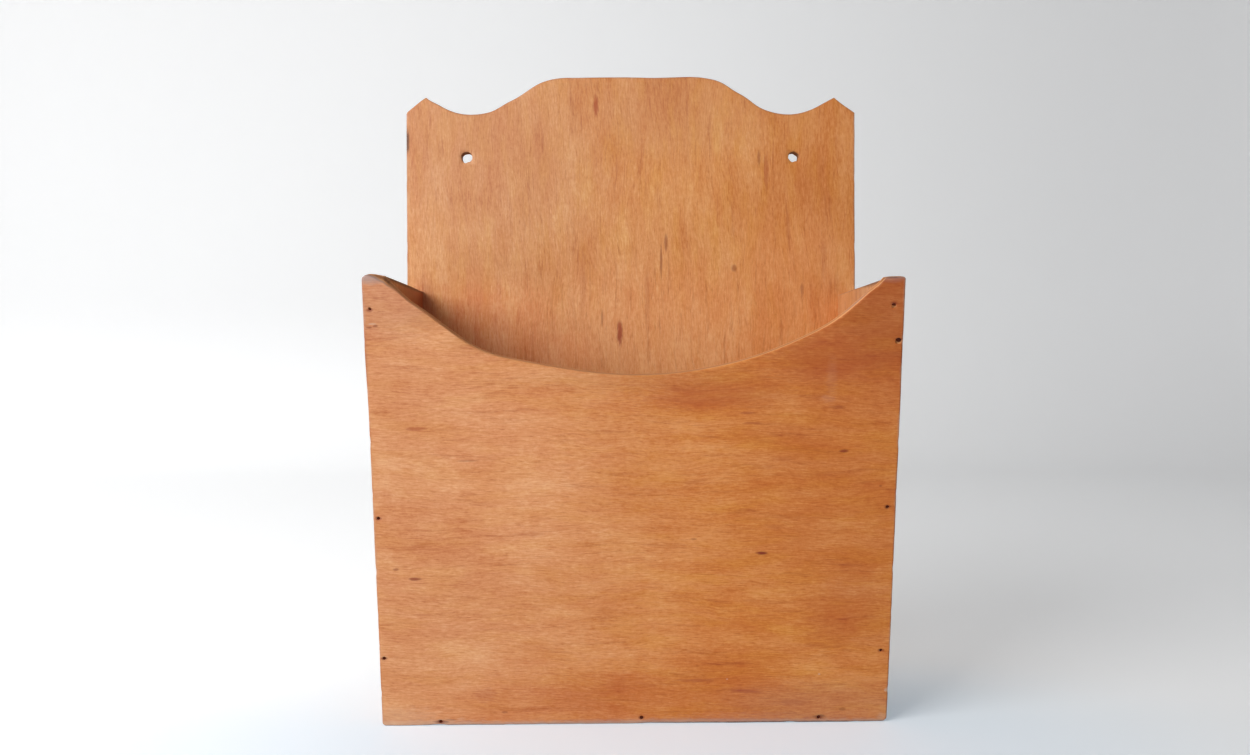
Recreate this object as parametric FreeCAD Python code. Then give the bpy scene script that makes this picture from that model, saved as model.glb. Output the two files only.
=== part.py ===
# Wall letter holder: a shaped back board, a leaning front board with a scooped top, two sides and a bottom
# board, held together by driven panel pins. Millimetres, with X to the right as seen from the front, Y
# towards the wall and Z up. The origin is under the middle of the whole holder, on what it stands on.
import FreeCAD, Part
import math
import os

from FreeCAD import Vector

# Overall sizes
WIDTH = 250.0  # across the back and front boards
BACK_HEIGHT = 340.0  # underside to the crest of the back board
BOX_HEIGHT = 220.0  # underside to the level tops of the sides
FLOOR_DEPTH = 61.0  # face of the back board to the face of the front board, at the underside
FRONT_LEAN_DEGREES = 8.5  # how far the front board leans outwards

# Boards
BACK_THICKNESS = 6.0
FRONT_THICKNESS = 6.0
SIDE_THICKNESS = 9.0
BOTTOM_THICKNESS = 8.0
ARRIS_RADIUS = 0.7  # rounding of the edges that a hand meets

# Top outline of the back board, from each side edge to the crest
HORN_INSET = 11.0  # side edge to the tip of the horn
SHOULDER_FALL = 9.0  # how far the sloping shoulder drops from the horn to the side edge
VALLEY_INSET = 37.0  # side edge to the lowest point of the valley
VALLEY_DROP = 21.0  # crest down to the lowest point of the valley
VALLEY_RADIUS = 35.0
CREST_RADIUS = 39.0
OGEE_SLOPE_DEGREES = 33.0  # straight stretches on both sides of the valley

# Hanging holes
HANGING_HOLE_DIAMETER = 6.0
HANGING_HOLE_INSET = 33.5  # side edge to the hole's centre
HANGING_HOLE_DROP = 24.0  # lowest point of the valley down to the hole's centre

# Scooped top of the front board
SCOOP_DEPTH = 46.5  # top edge down to the lowest point, along the board
SCOOP_END_SLOPE_DEGREES = 46.0  # how steeply the scoop leaves the top edge
FRONT_CORNER_RADIUS = 2.5  # outer top corners

# Panel pins
PIN_LENGTH = 20.0
PIN_SHANK_DIAMETER = 1.4
PIN_HEAD_DIAMETER = 2.2
PIN_HEAD_THICKNESS = 0.5
PIN_NECK_LENGTH = 0.6  # cone under the head
PIN_POINT_LENGTH = 2.6
PIN_SINK = 0.3  # how far the heads are punched below the surface

# Places of the pins. On the front board, a height is a share of the board's length and an inset is a share
# of the side's thickness. Along the bottom, a place is a share of half the width and a height is a share of
# the bottom board's thickness. On the back board, heights are shares of the box's height.
FRONT_LEFT_PIN_SHARES = ((0.93, 0.29), (0.48, 0.26), (0.16, 0.24))
FRONT_RIGHT_PIN_SHARES = ((0.94, 0.55), (0.865, 0.23), (0.50, 0.45), (0.17, 0.49))
FRONT_BOTTOM_PIN_SHARES = ((-0.77, 0.24), (0.025, 0.40), (0.73, 0.33))
BACK_SIDE_PIN_SHARES = (0.09, 0.50, 0.91)
BACK_BOTTOM_PIN_SHARES = (-0.70, 0.0, 0.70)
BASE_PIN_SHARES = (0.25, 0.75)  # of the bottom board's depth, from the back board

# One overrun serves all cuts
OVERRUN = 5.0
TOUCH = 0.01  # how near a plane an edge has to be to count as lying on it
FULL_TURN_DEGREES = 360.0

# Sizes that follow from the ones above
LEAN = math.radians(FRONT_LEAN_DEGREES)
UP_FRONT = Vector(0, -math.sin(LEAN), math.cos(LEAN))
INTO_FRONT = Vector(0, math.cos(LEAN), math.sin(LEAN))
HALF_WIDTH = WIDTH / 2
INNER_HALF_WIDTH = HALF_WIDTH - SIDE_THICKNESS
FRONT_LENGTH = (BOX_HEIGHT - FRONT_THICKNESS * math.sin(LEAN)) / math.cos(LEAN)
WHOLE_DEPTH = BACK_THICKNESS + FLOOR_DEPTH + FRONT_LENGTH * math.sin(LEAN)
WALL_Y = WHOLE_DEPTH / 2
BACK_FACE_Y = WALL_Y - BACK_THICKNESS
FRONT_FOOT = Vector(0, BACK_FACE_Y - FLOOR_DEPTH, 0)


def front_inner_y(z):
    """Y of the front board's inner face at a height."""
    return FRONT_FOOT.y + FRONT_THICKNESS / math.cos(LEAN) - z * math.tan(LEAN)


def on_front(x, along):
    """A point on the front board's outer face: across from the middle, and up the board from its foot."""
    return FRONT_FOOT + Vector(x, 0, 0) + UP_FRONT * along


def sawn_board(profile, half_length):
    """A board with a profile of (y, z) points, as long as twice half_length across the holder."""
    points = [Vector(-half_length, y, z) for y, z in profile]
    face = Part.Face(Part.makePolygon(points + points[:1]))
    return face.extrude(Vector(2 * half_length, 0, 0))


def rounded(shape, is_chosen):
    """The shape with its chosen edges rounded as a hand rounds an arris."""
    return shape.makeFillet(ARRIS_RADIUS, [edge for edge in shape.Edges if is_chosen(edge)])


def lies_on(edge, point, normal):
    """True when both ends and the middle of an edge lie on a plane."""
    places = [vertex.Point for vertex in edge.Vertexes] + [edge.CenterOfMass]
    return all(abs((place - point).dot(normal)) < TOUCH for place in places)


def crest_side(sign):
    """Edges of one half of the back board's top, from the middle of the crest to the shoulder.

    The crest turns down on an arc into a straight slope, which runs tangent into the valley's arc. The
    valley's other side rises on the same slope to the horn, and the shoulder falls from there."""
    slope = math.radians(OGEE_SLOPE_DEGREES)
    radii = CREST_RADIUS + VALLEY_RADIUS
    straight = (VALLEY_DROP - radii * (1 - math.cos(slope))) / math.sin(slope)
    valley_x = HALF_WIDTH - VALLEY_INSET
    valley_z = BACK_HEIGHT - VALLEY_DROP
    crest_x = valley_x - radii * math.sin(slope) - straight * math.cos(slope)
    horn_x = HALF_WIDTH - HORN_INSET

    def at(x, z):
        return Vector(sign * x, BACK_FACE_Y, z)

    def on_crest(turn):
        return at(crest_x + CREST_RADIUS * math.sin(turn), BACK_HEIGHT - CREST_RADIUS * (1 - math.cos(turn)))

    def in_valley(turn):
        return at(valley_x + VALLEY_RADIUS * math.sin(turn), valley_z + VALLEY_RADIUS * (1 - math.cos(turn)))

    rise = (horn_x - valley_x - VALLEY_RADIUS * math.sin(slope)) * math.tan(slope)
    horn = at(horn_x, in_valley(slope).z + rise)
    shoulder = at(HALF_WIDTH, horn.z - SHOULDER_FALL)
    return [
        Part.LineSegment(at(0, BACK_HEIGHT), on_crest(0)),
        Part.Arc(on_crest(0), on_crest(slope / 2), on_crest(slope)),
        Part.LineSegment(on_crest(slope), in_valley(-slope)),
        Part.Arc(in_valley(-slope), in_valley(0), in_valley(slope)),
        Part.LineSegment(in_valley(slope), horn),
        Part.LineSegment(horn, shoulder),
        Part.LineSegment(shoulder, at(HALF_WIDTH, 0)),
        Part.LineSegment(at(HALF_WIDTH, 0), at(0, 0)),
    ]


def hanging_holes():
    """The two round holes that the holder hangs by."""
    z = BACK_HEIGHT - VALLEY_DROP - HANGING_HOLE_DROP
    length = BACK_THICKNESS + 2 * OVERRUN
    holes = []
    for sign in (-1, 1):
        start = Vector(sign * (HALF_WIDTH - HANGING_HOLE_INSET), BACK_FACE_Y - OVERRUN, z)
        holes.append(Part.makeCylinder(HANGING_HOLE_DIAMETER / 2, length, start, Vector(0, 1, 0)))
    return holes


def back_panel():
    """The plywood back board: its outline sawn from one sheet, arrises rounded, holes bored."""
    curves = crest_side(1) + crest_side(-1)
    outline = Part.Wire(Part.__sortEdges__([curve.toShape() for curve in curves]))
    board = Part.Face(outline).extrude(Vector(0, BACK_THICKNESS, 0))
    front, rear = Vector(0, BACK_FACE_Y, 0), Vector(0, WALL_Y, 0)
    across = Vector(0, 1, 0)
    board = rounded(board, lambda edge: lies_on(edge, front, across) or lies_on(edge, rear, across))
    return board.cut(hanging_holes())


def scoop():
    """What is sawn out of the front board's top edge: one smooth curve between the inner faces of the sides.

    The curve's two inner poles lie on its end slopes, at 4/3 of its depth, which puts its lowest point at
    the depth itself."""
    pole_depth = SCOOP_DEPTH * 4 / 3
    pole_x = INNER_HALF_WIDTH - pole_depth / math.tan(math.radians(SCOOP_END_SLOPE_DEGREES))
    poles = [
        on_front(-INNER_HALF_WIDTH, FRONT_LENGTH),
        on_front(-pole_x, FRONT_LENGTH - pole_depth),
        on_front(pole_x, FRONT_LENGTH - pole_depth),
        on_front(INNER_HALF_WIDTH, FRONT_LENGTH),
    ]
    curve = Part.BezierCurve()
    curve.setPoles(poles)
    above = [on_front(sign * INNER_HALF_WIDTH, FRONT_LENGTH + OVERRUN) for sign in (1, -1)]
    lines = Part.makePolygon([poles[-1], *above, poles[0]])
    face = Part.Face(Part.Wire([curve.toShape(), *lines.Edges]))
    face.translate(INTO_FRONT * -OVERRUN)
    return face.extrude(INTO_FRONT * (FRONT_THICKNESS + 2 * OVERRUN))


def front_panel():
    """The plywood front board: sawn level at its foot and square at its top, then scooped and rounded."""
    top = on_front(0, FRONT_LENGTH)
    inner_top = top + INTO_FRONT * FRONT_THICKNESS
    profile = [
        (FRONT_FOOT.y, 0),
        (front_inner_y(0), 0),
        (inner_top.y, inner_top.z),
        (top.y, top.z),
    ]
    board = sawn_board(profile, HALF_WIDTH)
    corners = [
        edge
        for edge in board.Edges
        if lies_on(edge, top, UP_FRONT) and abs(edge.CenterOfMass.x) > INNER_HALF_WIDTH
    ]
    board = board.makeFillet(FRONT_CORNER_RADIUS, corners).cut(scoop())
    return rounded(board, lambda edge: lies_on(edge, FRONT_FOOT, INTO_FRONT) and edge.CenterOfMass.z > TOUCH)


def side(sign):
    """One tapered side, between the back board's face and the front board's inner face."""
    profile = [
        (BACK_FACE_Y, 0),
        (BACK_FACE_Y, BOX_HEIGHT),
        (front_inner_y(BOX_HEIGHT), BOX_HEIGHT),
        (front_inner_y(0), 0),
    ]
    board = sawn_board(profile, SIDE_THICKNESS / 2)
    board.translate(Vector(sign * (HALF_WIDTH - SIDE_THICKNESS / 2), 0, 0))
    top = Vector(0, 0, BOX_HEIGHT)

    def is_long_top(edge):
        ends = [vertex.Point.x for vertex in edge.Vertexes]
        return lies_on(edge, top, Vector(0, 0, 1)) and abs(ends[0] - ends[-1]) < TOUCH

    return rounded(board, is_long_top)


def bottom_board():
    """The floor of the pocket, between the sides, with its front edge planed to the front board's lean."""
    profile = [
        (BACK_FACE_Y, 0),
        (BACK_FACE_Y, BOTTOM_THICKNESS),
        (front_inner_y(BOTTOM_THICKNESS), BOTTOM_THICKNESS),
        (front_inner_y(0), 0),
    ]
    return sawn_board(profile, INNER_HALF_WIDTH)


def pin(place, direction):
    """A panel pin driven from a place on a surface: flat head, short cone under it, shank and point."""
    head, shank = PIN_HEAD_DIAMETER / 2, PIN_SHANK_DIAMETER / 2
    tip = PIN_SINK + PIN_LENGTH
    neck = PIN_SINK + PIN_HEAD_THICKNESS
    outline = [
        Vector(0, 0, PIN_SINK),
        Vector(head, 0, PIN_SINK),
        Vector(head, 0, neck),
        Vector(shank, 0, neck + PIN_NECK_LENGTH),
        Vector(shank, 0, tip - PIN_POINT_LENGTH),
        Vector(0, 0, tip),
        Vector(0, 0, PIN_SINK),
    ]
    solid = Part.Face(Part.makePolygon(outline)).revolve(Vector(0, 0, 0), Vector(0, 0, 1), FULL_TURN_DEGREES)
    solid.Placement = FreeCAD.Placement(place, FreeCAD.Rotation(Vector(0, 0, 1), direction))
    return solid


def pin_seat(place, direction):
    """What a driven pin takes out of the boards: its own shape and the punch mark above its head."""
    mark = Part.makeCylinder(
        PIN_HEAD_DIAMETER / 2, PIN_SINK + OVERRUN, place - direction * OVERRUN, direction
    )
    return pin(place, direction).fuse(mark)


def pin_rows():
    """Every row of pins by name, each pin as its place on a surface and the way that it is driven."""
    edge_x = HALF_WIDTH - SIDE_THICKNESS / 2
    floor_front = front_inner_y(BOTTOM_THICKNESS / 2)
    floor_depth = BACK_FACE_Y - floor_front
    forwards = Vector(0, -1, 0)
    rows = {
        "front_pins_left": [
            (on_front(inset * SIDE_THICKNESS - HALF_WIDTH, height * FRONT_LENGTH), INTO_FRONT)
            for height, inset in FRONT_LEFT_PIN_SHARES
        ],
        "front_pins_right": [
            (on_front(HALF_WIDTH - inset * SIDE_THICKNESS, height * FRONT_LENGTH), INTO_FRONT)
            for height, inset in FRONT_RIGHT_PIN_SHARES
        ],
        "front_pins_bottom": [
            (on_front(across * HALF_WIDTH, height * BOTTOM_THICKNESS), INTO_FRONT)
            for across, height in FRONT_BOTTOM_PIN_SHARES
        ],
        "back_pins_bottom": [
            (Vector(across * HALF_WIDTH, WALL_Y, BOTTOM_THICKNESS / 2), forwards)
            for across in BACK_BOTTOM_PIN_SHARES
        ],
    }
    for name, sign in (("left", -1), ("right", 1)):
        rows["back_pins_" + name] = [
            (Vector(sign * edge_x, WALL_Y, height * BOX_HEIGHT), forwards) for height in BACK_SIDE_PIN_SHARES
        ]
        rows["base_pins_" + name] = [
            (
                Vector(sign * HALF_WIDTH, BACK_FACE_Y - depth * floor_depth, BOTTOM_THICKNESS / 2),
                Vector(-sign, 0, 0),
            )
            for depth in BASE_PIN_SHARES
        ]
    return rows


def main():
    os.makedirs("parts", exist_ok=True)
    rows = pin_rows()
    seats = [pin_seat(*place) for row in rows.values() for place in row]
    boards = {
        "back_panel": back_panel(),
        "front_panel": front_panel(),
        "left_side": side(-1),
        "right_side": side(1),
        "bottom_board": bottom_board(),
    }
    for name, board in boards.items():
        board.cut(seats).exportStep("parts/" + name + ".step")
    for name, row in rows.items():
        Part.makeCompound([pin(*place) for place in row]).exportStep("parts/" + name + ".step")


main()
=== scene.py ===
"""Wall letter holder of varnished plywood: worn boards, driven pins, finishes and a plain pale stage."""
import math

import bpy
import numpy as np
from mathutils import Matrix, Vector


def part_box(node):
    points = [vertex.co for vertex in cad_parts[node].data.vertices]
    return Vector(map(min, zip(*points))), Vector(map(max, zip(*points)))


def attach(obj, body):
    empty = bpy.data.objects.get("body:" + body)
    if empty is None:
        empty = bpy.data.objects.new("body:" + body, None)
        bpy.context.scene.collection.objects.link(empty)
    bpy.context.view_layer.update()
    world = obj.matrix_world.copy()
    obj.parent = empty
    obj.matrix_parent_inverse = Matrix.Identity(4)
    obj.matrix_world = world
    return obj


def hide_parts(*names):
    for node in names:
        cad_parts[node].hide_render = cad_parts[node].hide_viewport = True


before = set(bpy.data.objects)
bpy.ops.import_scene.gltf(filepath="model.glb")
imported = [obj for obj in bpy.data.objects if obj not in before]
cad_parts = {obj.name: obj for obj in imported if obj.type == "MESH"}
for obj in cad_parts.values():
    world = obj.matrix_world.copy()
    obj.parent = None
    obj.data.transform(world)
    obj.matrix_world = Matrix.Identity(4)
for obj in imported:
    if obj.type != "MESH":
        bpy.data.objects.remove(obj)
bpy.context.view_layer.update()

bl_info = {
    "name": "Wall Letter Holder",
    "version": (1, 0, 0),
    "blender": (4, 5, 0),
    "location": "3D View > Sidebar > Letter Holder",
    "description": "Builds a pinned plywood letter holder round its frame, with its finishes and a stage",
    "category": "Add Mesh",
}

MM = 0.001

# Sizes that the frame gives
BACK_LOW, BACK_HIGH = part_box("back_panel")
SIDE_LOW, SIDE_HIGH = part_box("right_side")
HALF_WIDTH = BACK_HIGH.x
INNER_HALF_WIDTH = SIDE_LOW.x
SIDE_THICKNESS = SIDE_HIGH.x - SIDE_LOW.x
BOX_HEIGHT = SIDE_HIGH.z
BOTTOM_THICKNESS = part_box("bottom_board")[1].z
BACK_FACE_Y = BACK_LOW.y
WALL_Y = BACK_HIGH.y
BACK_HEIGHT = BACK_HIGH.z
FRONT_INNER_FOOT_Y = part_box("front_panel")[1].y

# The leaning front board
FRONT_LEAN = math.radians(8.5)
FRONT_THICKNESS = 6.0 * MM
FRONT_FOOT_Y = FRONT_INNER_FOOT_Y - FRONT_THICKNESS / math.cos(FRONT_LEAN)
FRONT_LENGTH = (BOX_HEIGHT - FRONT_THICKNESS * math.sin(FRONT_LEAN)) / math.cos(FRONT_LEAN)
SCOOP_DEPTH = 46.5 * MM
SCOOP_END_SLOPE = math.radians(46.0)
# Bells by which the saw left a drawn curve: place across, width and depth in mm
SCOOP_BELLS = (
    (-105.5, 6.0, 1.1), (-80.0, 30.0, 1.05), (-69.0, 19.0, 2.6), (60.0, 30.0, 0.4), (92.0, 18.0, 1.2),
    (113.5, 3.4, 0.7), (-119.5, 6.0, -0.6),
)
CORNER_BELLS = ((-116.0, 4.6, 3.2),)
CORNER_BEVEL = 0.8  # share of the worn corner's depth that is lost from the board's face to its rear
TOP_TILT = 0.8 * MM  # its top edge stands this much higher at the left and lower at the right
TILT_SPAN = (0.4, 0.75)  # shares of the height over which the tilt or fall of a top edge sets in
FOOT_SPAN = (2.0 * MM, 20.0 * MM)  # heights over which the foot, sawn level, turns square to the board
FRONT_CORNERS = ((-1, 1, 2.3), (1, 1, 1.1), (-1, -1, 1.6), (1, -1, 2.4))  # ways in x and z, radius in mm
SCOOP_WARP_START = 60.0 * MM  # below this height the grid of the front board stays square

# Tops of the two sides, by the sign of their place across
SIDES = {"left": -1, "right": 1}
SIDE_TOPS = {-1: (0.0, 0.05, 0.3), 1: (2.4, 2.35, 0.0)}  # fall at the rear, at the front, and crown in mm
SIDE_CORNERS = {-1: 2.3, 1: 1.4}  # radius in mm to which the outer top arris is worn
SIDE_CORNER_SPAN = (4.0 * MM, 22.0 * MM)  # distances behind the front board over which that wear ends

# Outline of the back board
HORN_INSET = 11.0 * MM
SHOULDER_FALL = 9.0 * MM
VALLEY_INSET = 37.0 * MM
VALLEY_DROP = 21.0 * MM
VALLEY_RADIUS = 35.0 * MM
CREST_RADIUS = 39.0 * MM
OGEE_SLOPE = math.radians(33.0)
CREST_WARP_START = 305.0 * MM
CREST_BELLS = (
    (-112.0, 3.5, 0.8), (-70.0, 5.5, -1.2), (-2.0, 26.0, 0.4), (52.0, 7.5, -1.2), (64.3, 6.2, -1.4),
    (117.0, 7.0, 0.5),
)
BACK_CORNERS = ((-1, -1, 1.2), (1, -1, 1.0))  # ways in x and z, radius in mm

# Edges that stand out of the frame
RIGHT_EXCESS = {"front": (0.45 * MM, 0.8), "back": (0.85 * MM, 0.85)}  # how far, from which share across
LEFT_EXCESS = 0.25 * MM  # how far the front board stands out at the left
LEFT_SPLAY = 0.5 * MM  # and how much more near its top
LEFT_SPLAY_SPAN = (0.7, 0.85)  # shares of its length over which that sets in
LEFT_STRIP = 1.7 * MM  # width of the strip outside the pins that takes both

# Dents and chips: waves along an edge, of which only the tops above a level bite into it
DENTS = {"front": (21 * MM, 0.3 * MM, 5), "back": (24 * MM, 0.45 * MM, 12)}  # wave length, depth and seed
DENT_LEVEL = 0.75
DENT_REACH = 1.2 * MM
CHIP_WAVES = (26 * MM, 6)
CHIP_LEVEL = 0.7
CHIP_REACH = 1.3 * MM
CHIP_DEPTH = 0.45 * MM

# Other waves, with their length and seed
SAW_WAVES = {"front": (60 * MM, 7), "back": (45 * MM, 13)}
BOW_WAVES = {"front": (130 * MM, 8), "back": (140 * MM, 14), "side": (90 * MM, 23)}
ARRIS_WAVES = {  # and first their strength
    "front": (0.35, 30 * MM, 1), "back": (0.35, 35 * MM, 11), "side": (0.3, 30 * MM, 21),
}

# Spans over which something sets in
FRONT_BOW_SPAN = (2 * MM, 25 * MM)  # inwards from the upright edges
BACK_BOW_SPAN = 30 * MM  # upwards from the top of the box
ROUGH_SPAN = (0.0, 8 * MM)  # of the scoop's depth, for the saw's waves
INNER_SPAN = (0.35, 0.65)  # shares of the front board's thickness, from its worn arrises to its sharp ones
FRONT_TOP_SPAN = (4 * MM, 2 * MM)  # below the top, to where all arrises are worn
SIDE_TOP_SPAN = (3 * MM, 1 * MM)
SIDE_FREE_SPAN = (0.4 * MM, 2 * MM)  # from the boards that a side meets
HANDLED_DEPTHS = (1 * MM, 5 * MM)  # of the scoop, where hands have polished its edge
HANDLED_HEIGHTS = (0.5, 0.9)  # shares of the front board's length
HANDLED = 0.9  # share of the arris wear that the polish takes away

# Curves and grids
WARP_RIM = 3.0 * MM  # the outermost strip of a shaped edge moves as one, so that its arris keeps its form
CURVE_POINTS = 241
ARRIS_LINES = np.array([0.0, 0.1, 0.24, 0.42, 0.66, 1.0, 1.6, 2.6]) * MM  # lines from each end of a board
LEAST_ROOM = 0.45  # share of the step that an even line keeps from those

# Hanging holes
HOLE_INSET = 33.5 * MM
HOLE_DROP = 24.0 * MM  # below the lowest point of the valley

# Pins: places as in the frame, as shares of the board that they hold
FRONT_LEFT_PIN_SHARES = ((0.93, 0.29), (0.48, 0.26), (0.16, 0.24))
FRONT_RIGHT_PIN_SHARES = ((0.94, 0.55), (0.865, 0.23), (0.50, 0.45), (0.17, 0.49))
FRONT_BOTTOM_PIN_SHARES = ((-0.77, 0.24), (0.025, 0.40), (0.73, 0.33))
FRONT_PIN_SCALES = {"left": (0.8, 0.9, 1.0), "right": (1.2, 1.7, 1.0, 0.85), "bottom": (1.0, 1.1, 1.1)}
BACK_SIDE_PIN_SHARES = (0.09, 0.50, 0.91)
BACK_BOTTOM_PIN_SHARES = (-0.70, 0.0, 0.70)
BASE_PIN_SHARES = (0.25, 0.75)
PIN_SINK = 0.3 * MM
PIN_LENGTH = 20.0 * MM
PIN_SHANK_RADIUS = 0.7 * MM
PIN_HEAD_THICKNESS = 0.5 * MM
PIN_NECK_LENGTH = 0.6 * MM
PIN_POINT_LENGTH = 2.6 * MM
PIN_TURN_POINTS = 40

# Pits of the pins, and bores of the holes
PIT_RAGGED = 0.03  # share by which a rim is out of round
HOLE_RAGGED = 0.07
RAGGED_LENGTH = 1.3  # of the waves in such a rim, taken as a circle of radius 1
COLLAR_SHARE = 1.12  # how far round a pin or a hole the grid is cut away, as a share of its rim

# Arrises
JOINT_ARRIS = 0.18 * MM  # sharp edges where one board meets another
WEAR_REACH = 0.9 * MM


def linear(*levels):
    """A colour of three bytes, as seen on a screen, in the linear values that shaders use."""
    shares = [level / 255 for level in levels]
    return tuple(s / 12.92 if s <= 0.04045 else ((s + 0.055) / 1.055) ** 2.4 for s in shares)


def colour_property(name, description, default):
    """A colour that a user may change."""
    return bpy.props.FloatVectorProperty(
        name=name, description=description, default=default, size=3, min=0.0, max=1.0, subtype="COLOR"
    )


def number_property(name, description, default, **limits):
    """A number that a user may change, with its limits, unit or subtype."""
    return bpy.props.FloatProperty(name=name, description=description, default=default, **limits)


def length_property(name, description, default):
    """A length that a user may change."""
    return number_property(name, description, default, min=0.0, unit="LENGTH")


class HolderShape(bpy.types.PropertyGroup):
    """Sizes of the visible boards and pins that a maker would change."""

    grid_step: length_property("Grid step", "Distance between the grid lines of a board", 1.6 * MM)
    arris_radius: length_property("Arris radius", "Rounding of the edges that a hand meets", 0.7 * MM)
    unevenness: length_property("Unevenness", "How far a board's faces stand out of true", 0.07 * MM)
    saw_wander: length_property("Saw wander", "How far a sawn outline leaves its drawn line", 0.22 * MM)
    hole_diameter: length_property("Hole diameter", "Width of the hanging holes", 6.0 * MM)
    pin_head_diameter: length_property("Pin head diameter", "Width of the pin heads", 1.6 * MM)
    pit_depth: length_property("Pit depth", "Depth of the mark that holds a pin head", 0.95 * MM)


class HolderFinish(bpy.types.PropertyGroup):
    """Colours and gloss of the varnished wood, its stains, its painted light, sheen and shade, and the
    pins.
    """

    front_pale: colour_property("Front pale", "Light veins of the front veneer", linear(209, 131, 66))
    front_warm: colour_property("Front warm", "Main tone of the front veneer", linear(200, 114, 44))
    front_gold: colour_property("Front gold", "Yellow patches of the front veneer", linear(205, 126, 45))
    front_deep: colour_property("Front deep", "Dark streaks of the front veneer", linear(166, 76, 24))
    back_pale: colour_property("Back pale", "Light veins of the back veneer", linear(212, 143, 82))
    back_warm: colour_property("Back warm", "Main tone of the back veneer", linear(203, 126, 62))
    back_gold: colour_property("Back gold", "Yellow patches of the back veneer", linear(208, 137, 62))
    back_deep: colour_property("Back deep", "Dark streaks of the back veneer", linear(168, 84, 34))
    side_pale: colour_property("Side pale", "Light veins of the sides", linear(210, 151, 99))
    side_warm: colour_property("Side warm", "Main tone of the sides", linear(199, 134, 80))
    side_gold: colour_property("Side gold", "Yellow patches of the sides", linear(203, 141, 78))
    side_deep: colour_property("Side deep", "Dark streaks of the sides", linear(156, 84, 40))
    # Painted sheen: a pale veil screened over the left of the front and back boards, standing in for light
    # from the left on the varnish
    bleach: colour_property("Bleach", "Paleness that daylight has added to veneer", (0.05, 0.074, 0.066))
    # Painted light: a lighter tone where the boards would otherwise render too dark, on the back's middle
    # and lower part and the front's middle left
    sunned: colour_property("Sunned", "Lighter veneer where it has seen most light", linear(232, 156, 96))
    # Painted shade: a darker, redder tint laid where the boards should look darker because of how the light
    # falls
    aged: colour_property("Painted_shade", "Tint of the veneer where its varnish has darkened", (0.73, 0.49, 0.36))
    # Also the tint of painted shade patches on the front board
    edge_tint: colour_property("Edge tint", "Thick varnish and dirt along the arrises", (0.62, 0.52, 0.46))
    raw_wood: colour_property("Raw wood", "Wood where the varnish is worn off", linear(208, 176, 150))
    # Grey veil: worn, dusty varnish along the front's foot, and painted highlight and sheen on the top
    # corners, the back's upper left and the right side
    haze: colour_property("Worn_haze_and_sheen", "Grey dust and dulled varnish on worn places", linear(150, 136, 136))
    # Painted red bounce light, screened in where the pocket shades the back board
    unfaded: colour_property("Painted_red", "Red that varnish keeps where little light falls", (0.28, 0.0, 0.0))
    ply_light: colour_property("Light ply", "Face plies where a board is sawn", linear(216, 152, 99))
    ply_dark: colour_property("Dark ply", "Core ply where a board is sawn", linear(196, 132, 82))
    stain: colour_property("Stain", "Dark flecks and the stain round the pins", linear(122, 36, 5))
    # Also the colour of painted reddish shade in the pocket's left inner corner
    red_streak: colour_property("Red streak", "Reddish gum streaks in the veneer", linear(158, 66, 34))
    # Also the colour of painted shade: the contact shadow along the front's foot, its top corners, lines
    # along the sides' tops and the bores of the hanging holes
    steel: colour_property("Steel", "Darkened pin heads", linear(66, 28, 18))
    rust: colour_property("Rust", "Rust on the pin heads", linear(88, 32, 10))
    roughness: number_property(
        "Roughness", "Roughness of the satin varnish", 0.46, min=0.0, max=1.0, subtype="FACTOR"
    )


class HolderStage(bpy.types.PropertyGroup):
    """Floor, light and camera."""

    floor: colour_property("Floor", "Colour of the floor and backdrop", (0.70, 0.705, 0.71))
    # The glows are painted light: brighter at the left, as from the lamp, with a painted pool of light on
    # the floor at the left
    glow_left: number_property("Glow left", "Paleness that is seen on the stage at the left", 0.54)
    glow_right: number_property("Glow right", "Paleness that is seen on the stage at the right", 0.215)
    glow_floor: number_property("Glow floor", "More paleness that is seen on the floor at the left", 0.15)
    bounce_tint: colour_property("Bounce tint", "Balances warm light on the floor", (0.60, 0.82, 1.0))
    floor_radius: length_property("Floor radius", "Flat floor before the backdrop turns up", 1.15)
    cove_radius: length_property("Cove radius", "Turn from the floor into the backdrop", 0.35)
    backdrop_height: length_property("Backdrop height", "Top of the backdrop", 1.2)
    key_power: number_property("Key power", "Power of the lamp at the left", 25.4, min=0.0, unit="POWER")
    key_size: length_property("Key size", "Side of the lamp at the left", 1.0)
    fill: number_property("Fill", "Strength of the pale light from all round", 0.205, min=0.0)
    lens: number_property("Lens", "Focal length of the camera", 27.166, min=1.0, unit="CAMERA")


# Shapes as whole arrays


def grid_lines(low, high, step, kept=()):
    """Lines over a span: close ones at both ends, the kept ones, and even ones where those leave room."""
    firm = np.concatenate([low + ARRIS_LINES, high - ARRIS_LINES, np.asarray(kept, float)])
    even = np.linspace(low, high, round((high - low) / step) + 1)
    room = np.abs(even[:, None] - firm[None, :]).min(axis=1)
    return np.unique(np.concatenate([firm, even[room > step * LEAST_ROOM]]))


def ramp(values, start, stop):
    """0 up to start, 1 from stop on, and a straight rise between them."""
    return np.clip((values - start) / (stop - start), 0.0, 1.0)


def waves(places, length, seed):
    """A smooth uneven value near -1 to 1: the sum of sine waves of about that length, in seeded ways."""
    count = 9
    random = np.random.default_rng(seed)
    places = places.reshape(len(places), -1)
    ways = random.normal(size=(count, places.shape[1]))
    ways /= np.linalg.norm(ways, axis=1, keepdims=True)
    ways *= 2 * math.pi / length * random.uniform(0.5, 1.7, (count, 1))
    phases = random.uniform(0, 2 * math.pi, count)
    return np.sin(places @ ways.T + phases).sum(axis=1) * math.sqrt(2 / count) * 0.7


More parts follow.
